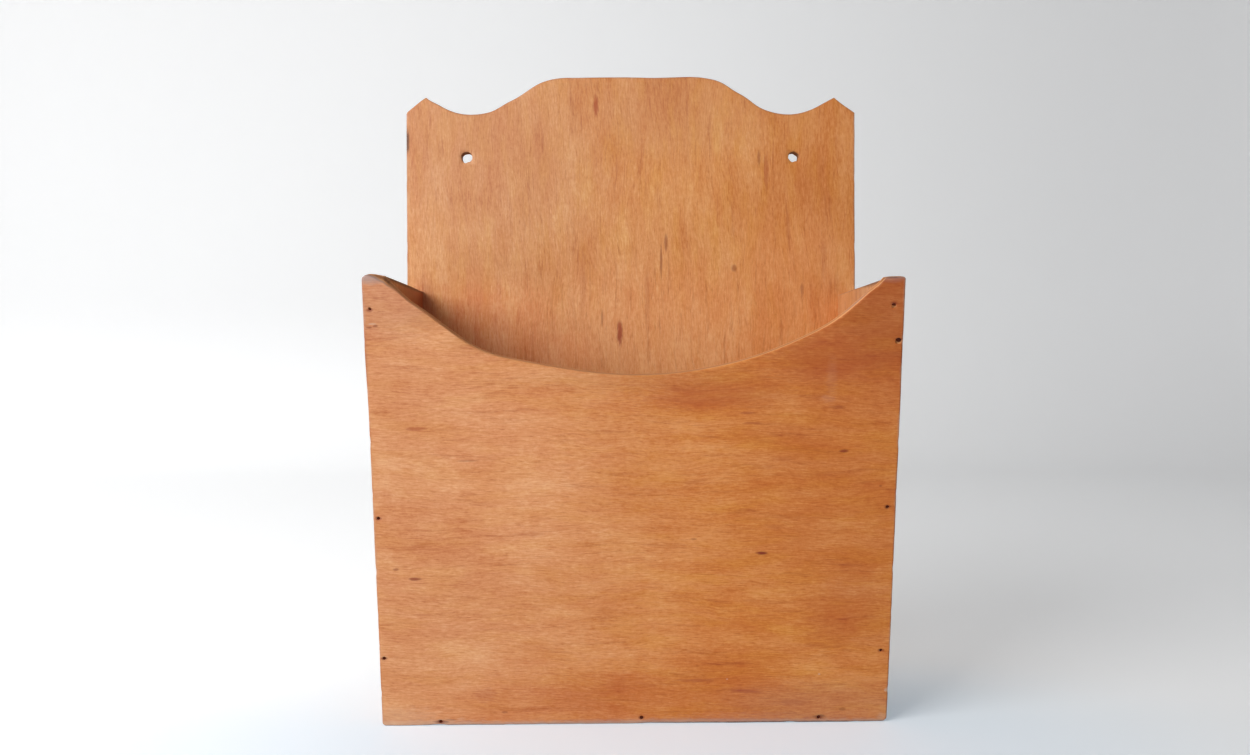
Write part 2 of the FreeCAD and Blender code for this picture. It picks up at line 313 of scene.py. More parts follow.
def crest_height(x):
    """Height of the back board's top edge at a distance from the middle.

    A level crest turns down on an arc into a straight slope, which runs into the valley's arc. From there
    the same slope rises to the horn, and the shoulder falls from the horn to the side edge."""
    radii = CREST_RADIUS + VALLEY_RADIUS
    straight = (VALLEY_DROP - radii * (1 - math.cos(OGEE_SLOPE))) / math.sin(OGEE_SLOPE)
    valley_x = HALF_WIDTH - VALLEY_INSET
    crest_x = valley_x - radii * math.sin(OGEE_SLOPE) - straight * math.cos(OGEE_SLOPE)
    turn = np.linspace(0, OGEE_SLOPE, CURVE_POINTS)
    swing = np.linspace(-OGEE_SLOPE, OGEE_SLOPE, CURVE_POINTS)
    valley_z = BACK_HEIGHT - VALLEY_DROP + VALLEY_RADIUS * (1 - np.cos(swing))
    horn_x = HALF_WIDTH - HORN_INSET
    run = horn_x - valley_x - VALLEY_RADIUS * math.sin(OGEE_SLOPE)
    horn_z = valley_z[-1] + run * math.tan(OGEE_SLOPE)
    across = [
        [0.0],
        crest_x + CREST_RADIUS * np.sin(turn),
        valley_x + VALLEY_RADIUS * np.sin(swing),
        [horn_x, HALF_WIDTH],
    ]
    height = [
        [BACK_HEIGHT],
        BACK_HEIGHT - CREST_RADIUS * (1 - np.cos(turn)),
        valley_z,
        [horn_z, horn_z - SHOULDER_FALL],
    ]
    return np.interp(np.abs(x), np.concatenate(across), np.concatenate(height))


def scoop_drop(x):
    """How far the front board's top edge is scooped at a place across it.

    A cubic curve from one side's inner face to the other. Its two inner poles lie on the end slopes at 4/3
    of the depth, so that its lowest point is at the depth itself."""
    pole_depth = SCOOP_DEPTH * 4 / 3
    pole_x = INNER_HALF_WIDTH - pole_depth / math.tan(SCOOP_END_SLOPE)
    u = np.linspace(0, 1, CURVE_POINTS)
    across = INNER_HALF_WIDTH * (u**3 - (1 - u) ** 3) + 3 * pole_x * u * (1 - u) * (2 * u - 1)
    return np.interp(x, across, 3 * pole_depth * u * (1 - u), left=0.0, right=0.0)


def saw_wander(x, bells):
    """How far the saw left a drawn curve: the sum of bells, each depth * exp(-((x - place) / width)^2)."""
    place, width, depth = np.array(bells).T[:, :, None] * MM
    return (depth * np.exp(-(((x - place) / width) ** 2))).sum(axis=0)


def round_arrises(points, low, high, radius):
    """A box's points with its edges and corners rounded.

    With q the nearest point of the box shrunk by the radius and d the way from q to the point, the point
    goes to q + d * max|d| / |d|, which turns square edges into arcs and corners into parts of a ball."""
    nearest = np.clip(points, low + radius[:, None], high - radius[:, None])
    away = points - nearest
    length = np.linalg.norm(away, axis=1, keepdims=True)
    reach = np.abs(away).max(axis=1, keepdims=True)
    return nearest + away * np.divide(reach, length, out=np.ones_like(reach), where=length > 0)


def round_corner(points, corner, ways, radius):
    """A board's points with one corner of its outline, in x and z, worn round.

    The radius is one for all points, or one for each. Inside the corner's square, d from the square's inner
    end becomes d * max|d| / |d|."""
    plane = points[:, [0, 2]]
    ways = np.array(ways, float)
    away = plane - (np.array(corner) - ways * radius)
    inside = (away * ways > 0).all(axis=1)
    length = np.linalg.norm(away, axis=1)
    reach = np.abs(away).max(axis=1)
    share = np.divide(reach, length, out=np.ones_like(reach), where=inside & (length > 0))
    moved = points.copy()
    moved[:, [0, 2]] = plane + away * (share - 1)[:, None]
    return moved


def worn_radius(shape, points, strength, length, seed):
    """Rounding of the arrises that a hand meets: the set radius, made uneven by waves."""
    return shape.arris_radius * (1 + strength * waves(points, length, seed))


def dented_edges(x, height, length, depth, seed):
    """Places across a board whose upright edges are dented: each dent fades with its distance inwards."""
    dent = np.clip(waves(height[:, None], length, seed) - DENT_LEVEL, 0, 1) * depth
    return x - np.sign(x) * dent * np.exp((np.abs(x) - HALF_WIDTH) / DENT_REACH)


def right_excess(board, x):
    """How far places across a board stand out of the frame at the right: a straight rise to the edge."""
    excess, start = RIGHT_EXCESS[board]
    return excess * ramp(x, start * HALF_WIDTH, HALF_WIDTH)


def nearness_to_arris(points, low, high):
    """1 on an arris, falling to 0 over the wear's reach, from the second smallest distance to the faces."""
    gaps = np.sort(np.minimum(points - low, high - points), axis=1)
    return np.exp(-gaps[:, 1] / WEAR_REACH)


class BoxSkin:
    """The skin of a box of grid lines: six grids of quads that share the points along their edges.

    Round pits and holes are cut into a grid: the cells round them go, and rings of points, each a circle of
    a radius at a depth, join the cut's outline to the bottom of the pit or to the far side of the board."""

    def __init__(self, *lines):
        self.lines = lines
        counts = [len(line) for line in lines]
        skin = np.ones(counts, bool)
        skin[1:-1, 1:-1, 1:-1] = False
        self.index = np.full(counts, -1)
        self.index[skin] = np.arange(skin.sum())
        self.points = np.stack(np.meshgrid(*lines, indexing="ij"), axis=-1)[skin]
        self.low = np.array([line[0] for line in lines])
        self.high = np.array([line[-1] for line in lines])
        self.kept = {}
        for axis in range(3):
            for end in (0, 1):
                self.kept[axis, end] = np.ones(self.sheet(axis, end).shape, bool)[1:, 1:]
        self.quads = []
        self.triangles = []

    def sheet(self, axis, end):
        """Point numbers of one face's grid, over the other two axes in their order."""
        return np.take(self.index, -end, axis)

    def keep(self, faces, axis, end, store):
        """Stores faces of one sheet, turned so that they look outwards."""
        inwards = (end == 1) == (axis == 1)
        store.append(faces[:, ::-1] if inwards else faces)

    def cut(self, axis, end, spans):
        """Takes a block of cells out of a sheet and gives the numbers of the points round it, in order."""
        (i0, i1), (j0, j1) = spans
        sheet = self.sheet(axis, end)
        self.kept[axis, end][i0:i1, j0:j1] = False
        return np.concatenate(
            [sheet[i0:i1, j0], sheet[i1, j0:j1], sheet[i1:i0:-1, j1], sheet[i0, j1:j0:-1]]
        )

    def bore(self, axis, end, centre, radii, depths, ragged=0.0, seed=0, through=False):
        """Cuts a round pit, or a hole right through, into the sheet at one end of an axis."""
        flat = [k for k in range(3) if k != axis]
        spans = []
        for k, place in zip(flat, centre):
            first = np.searchsorted(self.lines[k], place - radii[0] * COLLAR_SHARE) - 1
            last = np.searchsorted(self.lines[k], place + radii[0] * COLLAR_SHARE)
            spans.append((max(first, 0), min(last, len(self.lines[k]) - 1)))
        loop = self.cut(axis, end, spans)
        away = self.points[loop][:, flat] - np.array(centre)
        angles = np.unwrap(np.arctan2(away[:, 1], away[:, 0]))
        between = (angles + np.append(angles[1:], angles[0] + 2 * math.pi)) / 2
        turns = np.stack([angles, between], axis=1).ravel()
        rough = 1 + ragged * waves(np.stack([np.cos(turns), np.sin(turns)], 1), RAGGED_LENGTH, seed)
        radii = np.asarray(radii)[:, None] * rough
        rings = np.empty((len(depths), len(turns), 3))
        rings[..., flat[0]] = centre[0] + radii * np.cos(turns)
        rings[..., flat[1]] = centre[1] + radii * np.sin(turns)
        inward = 1 - 2 * end
        face = (self.low, self.high)[end][axis]
        rings[..., axis] = face + inward * np.asarray(depths)[:, None]
        number = len(self.points) + np.arange(len(depths) * len(turns)).reshape(len(depths), -1)
        self.points = np.concatenate([self.points, rings.reshape(-1, 3)])
        self.collar(axis, end, loop, number[0], False)
        near = number[:-1]
        far = number[1:]
        walls = np.stack([near, np.roll(near, -1, 1), np.roll(far, -1, 1), far], axis=-1)
        self.keep(walls.reshape(-1, 4), axis, end, self.quads)
        if through:
            self.collar(axis, end, self.cut(axis, 1 - end, spans), number[-1], True)
            return
        pole = np.zeros((1, 3))
        pole[0, flat] = centre
        pole[0, axis] = face + inward * depths[-1]
        last = number[-1]
        fan = np.stack([last, np.roll(last, -1), np.full_like(last, len(self.points))], axis=-1)
        self.points = np.concatenate([self.points, pole])
        self.keep(fan, axis, end, self.triangles)

    def collar(self, axis, end, loop, ring, outwards):
        """Joins an outline to a ring of twice as many points, by a quad and a triangle for each point."""
        ahead = np.roll(loop, -1)
        even = ring[0::2]
        odd = ring[1::2]
        quads = np.stack([loop, ahead, np.roll(even, -1), odd], axis=-1)
        corners = np.stack([loop, odd, even], axis=-1)
        turned = slice(None, None, -1 if outwards else 1)
        self.keep(quads[:, turned], axis, end, self.quads)
        self.keep(corners[:, turned], axis, end, self.triangles)

    def mesh(self, name, points):
        """A smooth mesh of the whole skin at the given places of its points."""
        quads = list(self.quads)
        for (axis, end), kept in self.kept.items():
            sheet = self.sheet(axis, end)
            cells = np.stack([sheet[:-1, :-1], sheet[1:, :-1], sheet[1:, 1:], sheet[:-1, 1:]], axis=-1)
            self.keep(cells[kept], axis, end, quads)
        faces = np.concatenate(quads).tolist()
        for corners in self.triangles:
            faces += corners.tolist()
        return new_mesh(name, points, faces)


def new_mesh(name, points, faces):
    """A smooth mesh of faces, which have to hold together."""
    mesh = bpy.data.meshes.new(name)
    mesh.from_pydata(points, [], faces)
    if mesh.validate():
        raise RuntimeError(name + " has faces that don't hold together")
    mesh.polygons.foreach_set("use_smooth", np.ones(len(mesh.polygons), bool))
    return mesh


def store_values(mesh, name, values):
    """Keeps one value, or one vector, for each point of a mesh."""
    values = np.asarray(values, np.float32)
    kind, key = ("FLOAT", "value") if values.ndim == 1 else ("FLOAT_VECTOR", "vector")
    mesh.attributes.new(name, kind, "POINT").data.foreach_set(key, values.ravel())


def add_piece(mesh, material, slot, *nodes):
    """Puts a mesh into the scene as a piece of the holder that stands for nodes of the frame."""
    mesh.materials.append(material)
    piece = bpy.data.objects.new(mesh.name, mesh)
    bpy.context.scene.collection.objects.link(piece)
    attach(piece, "root")
    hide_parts(*nodes)
    return piece


# Pins


def front_direction():
    """The way into the leaning front board, square to its face."""
    return np.array([0.0, math.cos(FRONT_LEAN), math.sin(FRONT_LEAN)])


def lean_front(x, depth, along):
    """Places in the holder of points on the front board: across, into the board and up the board."""
    y = FRONT_FOOT_Y - along * math.sin(FRONT_LEAN) + depth * math.cos(FRONT_LEAN)
    z = along * math.cos(FRONT_LEAN) + depth * math.sin(FRONT_LEAN)
    return np.stack(np.broadcast_arrays(x, y, z), axis=-1)


def spread_front(x, along):
    """Places across the front board with its edges standing out of the frame.

    They do so at the right, and at the left in a narrow strip, most of all near the top."""
    start, stop = LEFT_SPLAY_SPAN
    left = LEFT_EXCESS + LEFT_SPLAY * ramp(along, start * FRONT_LENGTH, stop * FRONT_LENGTH)
    return x + right_excess("front", x) - left * ramp(-x, HALF_WIDTH - LEFT_STRIP, HALF_WIDTH)


def front_pin_places():
    """Pins in the front board by row, each as its place across and up the board."""
    rows = {"left": [], "right": [], "bottom": []}
    for height, inset in FRONT_LEFT_PIN_SHARES:
        rows["left"].append((inset * SIDE_THICKNESS - HALF_WIDTH, height * FRONT_LENGTH))
    for height, inset in FRONT_RIGHT_PIN_SHARES:
        rows["right"].append((HALF_WIDTH - inset * SIDE_THICKNESS, height * FRONT_LENGTH))
    for across, height in FRONT_BOTTOM_PIN_SHARES:
        rows["bottom"].append((across * HALF_WIDTH, height * BOTTOM_THICKNESS))
    return rows


def back_pin_places():
    """Pins in the rear of the back board by row, each as its place across and its height."""
    edge_x = HALF_WIDTH - SIDE_THICKNESS / 2
    return {
        "left": [(-edge_x, height * BOX_HEIGHT) for height in BACK_SIDE_PIN_SHARES],
        "right": [(edge_x, height * BOX_HEIGHT) for height in BACK_SIDE_PIN_SHARES],
        "bottom": [(across * HALF_WIDTH, BOTTOM_THICKNESS / 2) for across in BACK_BOTTOM_PIN_SHARES],
    }


def base_pin_places():
    """Pins in the outer face of a side, each as its depth from the front and its height."""
    height = BOTTOM_THICKNESS / 2
    front_y = FRONT_INNER_FOOT_Y - height * math.tan(FRONT_LEAN)
    return [(BACK_FACE_Y - share * (BACK_FACE_Y - front_y), height) for share in BASE_PIN_SHARES]


def pit(shape, scale=1.0):
    """Radii and depths of the mark round a pin head: a dished rim, a wall and a floor below the head."""
    head = shape.pin_head_diameter / 2 * scale
    radii = np.array([1.34, 1.22, 1.12, 1.06, 1.05, 0.5]) * head
    depths = np.array([0.0, 0.03, 0.13, 0.32, 1.0, 1.0]) * shape.pit_depth
    return radii, depths


def pin_mesh(name, shape, places, direction, scales, seed):
    """Driven pins as one mesh: a profile of radius and depth turned round each pin's own line.

    The head is a little dished and out of round, tilted as a hammer leaves it, over a cone, a shank and a
    point."""
    head = shape.pin_head_diameter / 2
    neck = PIN_SINK + PIN_HEAD_THICKNESS
    tip = PIN_SINK + PIN_LENGTH
    dish = 0.1 * PIN_HEAD_THICKNESS
    profile = np.array([
        (0.30 * head, PIN_SINK + dish), (0.62 * head, PIN_SINK + 0.5 * dish), (0.86 * head, PIN_SINK),
        (0.96 * head, PIN_SINK + 0.10 * PIN_HEAD_THICKNESS), (head, PIN_SINK + 0.35 * PIN_HEAD_THICKNESS),
        (head, neck), (PIN_SHANK_RADIUS, neck + PIN_NECK_LENGTH),
        (PIN_SHANK_RADIUS, tip - PIN_POINT_LENGTH), (0.4 * PIN_SHANK_RADIUS, tip - 0.4 * PIN_POINT_LENGTH),
    ])
    random = np.random.default_rng(seed)
    places = np.asarray(places)
    count = len(places)
    direction = np.asarray(direction, float)
    side = np.cross(direction, (0.0, 0.0, 1.0))
    side /= np.linalg.norm(side)
    up = np.cross(side, direction)
    turns = np.linspace(0, 2 * math.pi, PIN_TURN_POINTS, endpoint=False)
    phase = random.uniform(0, 2 * math.pi, (count, 1, 1))
    size = np.where(profile[:, 1] <= neck, np.reshape(scales, (-1, 1)), 1.0)[..., None]
    radius = size * profile[None, :, :1] * (1 + 0.03 * np.sin(2 * turns + phase))
    depth = profile[None, :, 1:] + 0.05 * radius * np.cos(turns - phase) * (profile[None, :, 1:] < neck)
    rings = (
        places[:, None, None, :]
        + (radius * np.cos(turns))[..., None] * side
        + (radius * np.sin(turns))[..., None] * up
        + depth[..., None] * direction
    )
    poles = places[:, None, :] + np.array([PIN_SINK + dish, tip])[None, :, None] * direction
    number = np.arange(count * len(profile) * len(turns)).reshape(count, len(profile), len(turns))
    near, far = number[:, :-1], number[:, 1:]
    walls = np.stack([near, far, np.roll(far, -1, 2), np.roll(near, -1, 2)], axis=-1).reshape(-1, 4)
    pole_number = number.size + np.arange(2 * count).reshape(count, 2)
    first, last = number[:, 0], number[:, -1]
    top_pole = np.broadcast_to(pole_number[:, :1], first.shape)
    end_pole = np.broadcast_to(pole_number[:, 1:], last.shape)
    top = np.stack([top_pole, first, np.roll(first, -1, 1)], axis=-1)
    end = np.stack([end_pole, np.roll(last, -1, 1), last], axis=-1)
    points = np.concatenate([rings.reshape(-1, 3), poles.reshape(-1, 3)])
    faces = walls.tolist() + top.reshape(-1, 3).tolist() + end.reshape(-1, 3).tolist()
    return new_mesh(name, points, faces)


# Boards


def front_board(shape):
    """The leaning front board: scooped top, foot sawn level, worn corners, and a pit for each pin."""
    half = HALF_WIDTH
    step = shape.grid_step
    skin = BoxSkin(
        grid_lines(-half, half, step, (-INNER_HALF_WIDTH, INNER_HALF_WIDTH)),
        grid_lines(0.0, FRONT_THICKNESS, step),
        grid_lines(0.0, FRONT_LENGTH, step),
    )
    for name, row in front_pin_places().items():
        for seed, (place, scale) in enumerate(zip(row, FRONT_PIN_SCALES[name])):
            skin.bore(1, 0, place, *pit(shape, scale), ragged=PIT_RAGGED, seed=seed)
    flat = skin.points
    depth, along = flat.T[1:]
    inner = ramp(depth, *(FRONT_THICKNESS * np.array(INNER_SPAN)))
    top = ramp(along, *(FRONT_LENGTH - np.array(FRONT_TOP_SPAN)))
    hand = worn_radius(shape, flat, *ARRIS_WAVES["front"])
    radius = hand * (1 - inner) + inner * (JOINT_ARRIS + top * (hand - JOINT_ARRIS))
    points = round_arrises(flat, skin.low, skin.high, radius)
    for x_way, z_way, corner in FRONT_CORNERS:
        place = (x_way * half, FRONT_LENGTH if z_way > 0 else 0.0)
        points = round_corner(points, place, (x_way, z_way), corner * MM)
    x, depth, along = points.T
    x = dented_edges(x, along, *DENTS["front"])
    chip = np.clip(waves(x[:, None], *CHIP_WAVES) - CHIP_LEVEL, 0, 1) * CHIP_DEPTH
    along = along + chip * np.exp(-along / CHIP_REACH)
    rough = shape.saw_wander * waves(x[:, None], *SAW_WAVES["front"]) * ramp(scoop_drop(x), *ROUGH_SPAN)
    worn = saw_wander(x, CORNER_BELLS) * (1 - CORNER_BEVEL * ramp(depth, 0, FRONT_THICKNESS))
    drop = scoop_drop(x) + saw_wander(x, SCOOP_BELLS) + worn + rough
    along = along - drop * ramp(along, SCOOP_WARP_START, FRONT_LENGTH - WARP_RIM)
    along = along - TOP_TILT * x / half * ramp(flat[:, 2], *(FRONT_LENGTH * np.array(TILT_SPAN)))
    along = along - depth * math.tan(FRONT_LEAN) * (1 - ramp(along, *FOOT_SPAN))
    bow = shape.unevenness * waves(np.stack([x, along], 1), *BOW_WAVES["front"])
    bow = bow * ramp(half - np.abs(x), *FRONT_BOW_SPAN)
    mesh = skin.mesh("front_board", lean_front(spread_front(x, along), depth + bow, along))
    handled = ramp(scoop_drop(x), *HANDLED_DEPTHS)
    handled = handled * ramp(flat[:, 2], *(FRONT_LENGTH * np.array(HANDLED_HEIGHTS)))
    store_values(mesh, "board_mm", np.stack([x, along, depth], 1) / MM)
    store_values(mesh, "wear", nearness_to_arris(flat, skin.low, skin.high) * (1 - HANDLED * handled))
    return mesh


def hole_places():
    """The two hanging holes, each as its place across and its height."""
    height = BACK_HEIGHT - VALLEY_DROP - HOLE_DROP
    return [(sign * (HALF_WIDTH - HOLE_INSET), height) for sign in SIDES.values()]


def back_board(shape):
    """The back board: its top sawn to crest, valleys and horns, two hanging holes, and pits in its rear."""
    half = HALF_WIDTH
    step = shape.grid_step
    horn = half - HORN_INSET
    skin = BoxSkin(
        grid_lines(-half, half, step, (-horn, horn)),
        grid_lines(BACK_FACE_Y, WALL_Y, step),
        grid_lines(0.0, BACK_HEIGHT, step * 1.15),
    )
    thickness = WALL_Y - BACK_FACE_Y
    hole = shape.hole_diameter / 2
    rims = np.array([1.07, 1.02, 0.99, 0.97, 0.96, 0.96, 0.97, 0.99, 1.03]) * hole
    depths = np.array([0.0, 0.02, 0.07, 0.2, 0.5, 0.8, 0.93, 0.98, 1.0]) * thickness
    for seed, place in enumerate(hole_places()):
        skin.bore(1, 0, place, rims, depths, ragged=HOLE_RAGGED, seed=seed, through=True)
    radii, depths = pit(shape)
    for row in back_pin_places().values():
        for seed, place in enumerate(row):
            skin.bore(1, 1, place, radii, depths, ragged=PIT_RAGGED, seed=seed)
    flat = skin.points
    points = round_arrises(flat, skin.low, skin.high, worn_radius(shape, flat, *ARRIS_WAVES["back"]))
    for x_way, z_way, corner in BACK_CORNERS:
        points = round_corner(points, (x_way * half, 0.0), (x_way, z_way), corner * MM)
    x, y, z = points.T
    x = dented_edges(x, z, *DENTS["back"])
    rough = shape.saw_wander * (1 + waves(x[:, None], *SAW_WAVES["back"]))
    drop = BACK_HEIGHT - crest_height(x) + saw_wander(x, CREST_BELLS) + rough
    z = z - drop * ramp(z, CREST_WARP_START, BACK_HEIGHT - WARP_RIM)
    bow = shape.unevenness * waves(np.stack([x, z], 1), *BOW_WAVES["back"])
    bow = bow * ramp(z, BOX_HEIGHT, BOX_HEIGHT + BACK_BOW_SPAN)
    mesh = skin.mesh("back_board", np.stack([x + right_excess("back", x), y + bow, z], 1))
    store_values(mesh, "board_mm", np.stack([z, x, y - BACK_FACE_Y], 1) / MM)
    store_values(mesh, "wear", nearness_to_arris(flat, skin.low, skin.high))
    return mesh


def follow_lean(y, z):
    """Moves points of the box forwards as they rise, in full at the front and not at all at the back."""
    share = ramp(y, BACK_FACE_Y, FRONT_INNER_FOOT_Y)
    return y - share * z * math.tan(FRONT_LEAN)


def side_board(shape, name, sign):
    """One tapered side between the back board and the front board, with pits for the pins of the base."""
    ends = sorted((sign * INNER_HALF_WIDTH, sign * HALF_WIDTH))
    step = shape.grid_step
    skin = BoxSkin(
        grid_lines(*ends, step),
        grid_lines(FRONT_INNER_FOOT_Y, BACK_FACE_Y, step),
        grid_lines(0.0, BOX_HEIGHT, step),
    )
    radii, depths = pit(shape)
    for seed, place in enumerate(base_pin_places()):
        skin.bore(0, 1 if sign > 0 else 0, place, radii, depths, ragged=PIT_RAGGED, seed=seed)
    flat = skin.points
    y, z = flat.T[1:]
    free = ramp(np.minimum(y - skin.low[1], skin.high[1] - y), *SIDE_FREE_SPAN)
    top = ramp(z, *(BOX_HEIGHT - np.array(SIDE_TOP_SPAN))) * free
    strength, length, seed = ARRIS_WAVES["side"]
    hand = worn_radius(shape, flat, strength, length, seed + sign)
    points = round_arrises(flat, skin.low, skin.high, JOINT_ARRIS + top * (hand - JOINT_ARRIS))
    worn = SIDE_CORNERS[sign] * MM * (1 - ramp(y, *(skin.low[1] + np.array(SIDE_CORNER_SPAN))))
    points = round_corner(points, (sign * HALF_WIDTH, BOX_HEIGHT), (sign, 1), worn[:, None] + JOINT_ARRIS)
    x, y, z = points.T
    length, seed = BOW_WAVES["side"]
    bow = shape.unevenness * waves(np.stack([y, z], 1), length, seed + sign) * free
    front = ramp(y, BACK_FACE_Y, FRONT_INNER_FOOT_Y)
    rear_fall, front_fall, crown = np.array(SIDE_TOPS[sign]) * MM
    fall = rear_fall + (front_fall - rear_fall) * front - crown * 4 * front * (1 - front)
    z = z - fall * ramp(z, *(BOX_HEIGHT * np.array(TILT_SPAN)))
    y = follow_lean(y, z)
    mesh = skin.mesh(name, np.stack([x + bow, y, z], 1))
    store_values(mesh, "board_mm", np.stack([z, y, np.abs(x) - INNER_HALF_WIDTH], 1) / MM)
    store_values(mesh, "wear", nearness_to_arris(flat, skin.low, skin.high) * free)
    return mesh


def bottom_board(shape):
    """The floor of the pocket, with its front edge planed to the lean of the front board."""
    step = shape.grid_step * 1.5
    skin = BoxSkin(
        grid_lines(-INNER_HALF_WIDTH, INNER_HALF_WIDTH, step),
        grid_lines(FRONT_INNER_FOOT_Y, BACK_FACE_Y, step),
        grid_lines(0.0, BOTTOM_THICKNESS, step),
    )
    flat = skin.points
    points = round_arrises(flat, skin.low, skin.high, np.full(len(flat), JOINT_ARRIS))
    x, y, z = points.T
    mesh = skin.mesh("floor_board", np.stack([x, follow_lean(y, z), z], 1))
    store_values(mesh, "board_mm", np.stack([x, y, BOTTOM_THICKNESS - z], 1) / MM)
    store_values(mesh, "wear", nearness_to_arris(flat, skin.low, skin.high))
    return mesh


# Finishes


class Graph:
    """Short ways to add nodes to a node tree and to join them."""

    def __init__(self, tree):
        self.tree = tree
        tree.nodes.clear()

    def add(self, kind, inputs=None, **settings):
        """A new node with its settings and inputs."""
        node = self.tree.nodes.new(kind)
        for name, value in settings.items():
            setattr(node, name, value)
        for name, value in (inputs or {}).items():
            self.feed(node.inputs[name], value)
        return node

    def feed(self, socket, value):
        """Joins a socket to another, or sets it to a fixed value."""
        if isinstance(value, bpy.types.NodeSocket):
            self.tree.links.new(value, socket)
        elif socket.type == "RGBA" and len(value) == 3:
            socket.default_value = (*value, 1.0)
        else:
            socket.default_value = value

    def math(self, operation, first, second=0.0, clamp=False):
        """What a math node makes of two values."""
        node = self.add("ShaderNodeMath", {0: first, 1: second}, operation=operation, use_clamp=clamp)
        return node.outputs[0]

    def times(self, first, second, clamp=False):
        """The product of two values."""
        return self.math("MULTIPLY", first, second, clamp)

    def plus(self, first, second, clamp=False):
        """The sum of two values."""
        return self.math("ADD", first, second, clamp)

    def minus(self, first, second):
        """The difference of two values."""
        return self.math("SUBTRACT", first, second)

    def vector(self, operation, first, second=(0.0, 0.0, 0.0)):
        """What a vector math node makes of two vectors."""
        node = self.add("ShaderNodeVectorMath", {0: first, 1: second}, operation=operation)
        return node.outputs["Value" if operation == "LENGTH" else "Vector"]

    def mix(self, share, first, second, blend="MIX"):
        """A share of a second colour laid over a first one."""
        inputs = {0: share, 6: first, 7: second}
        return self.add("ShaderNodeMix", inputs, data_type="RGBA", blend_type=blend).outputs[2]

    def smooth(self, value, low, high, start=0.0, stop=1.0):
        """A soft step from start to stop while the value goes from low to high."""
        inputs = {"Value": value, "From Min": low, "From Max": high, "To Min": start, "To Max": stop}
        return self.add("ShaderNodeMapRange", inputs, interpolation_type="SMOOTHSTEP").outputs[0]

    def noise(self, vector, sizes, detail=2.0, roughness=0.5, distortion=0.0):
        """Noise whose lumps are about as long along each axis as the sizes say, in the vector's unit."""
        scaled = self.vector("MULTIPLY", vector, tuple(1 / size for size in sizes))
        inputs = {"Vector": scaled, "Scale": 1.0, "Detail": detail, "Roughness": roughness}
        return self.add("ShaderNodeTexNoise", {**inputs, "Distortion": distortion}).outputs["Fac"]

    def around(self, value, spread):
        """A value of 0 to 1 turned into a factor round 1."""
        return self.plus(self.times(value, spread), 1 - spread / 2)

    def grey(self, value):
        """One value as a grey colour."""
        return self.add("ShaderNodeCombineColor", {0: value, 1: value, 2: value}).outputs[0]

    def bump(self, height, strength, distance):
        """The way a surface faces once a height has roughened it."""
        inputs = {"Height": height, "Strength": strength, "Distance": distance}
        return self.add("ShaderNodeBump", inputs).outputs[0]

    def group(self, tree, **inputs):
        """The outputs of a node group that is given its inputs."""
        return self.add("ShaderNodeGroup", inputs, node_tree=tree).outputs


def group_tree(name, inputs, outputs):
    """A new node group with named sockets, and its graph, inputs and output node."""
    kinds = {"vector": "NodeSocketVector", "value": "NodeSocketFloat", "colour": "NodeSocketColor"}
    tree = bpy.data.node_groups.new(name, "ShaderNodeTree")
    graph = Graph(tree)
    for socket, kind in inputs.items():
        tree.interface.new_socket(socket, in_out="INPUT", socket_type=kinds[kind])
    for socket, kind in outputs.items():
        tree.interface.new_socket(socket, in_out="OUTPUT", socket_type=kinds[kind])
    return graph, graph.add("NodeGroupInput").outputs, graph.add("NodeGroupOutput").inputs


def once(make):
    """Keeps a node group that was made before, by its name."""

    def made():
        return bpy.data.node_groups.get(make.__name__) or make()

    return made


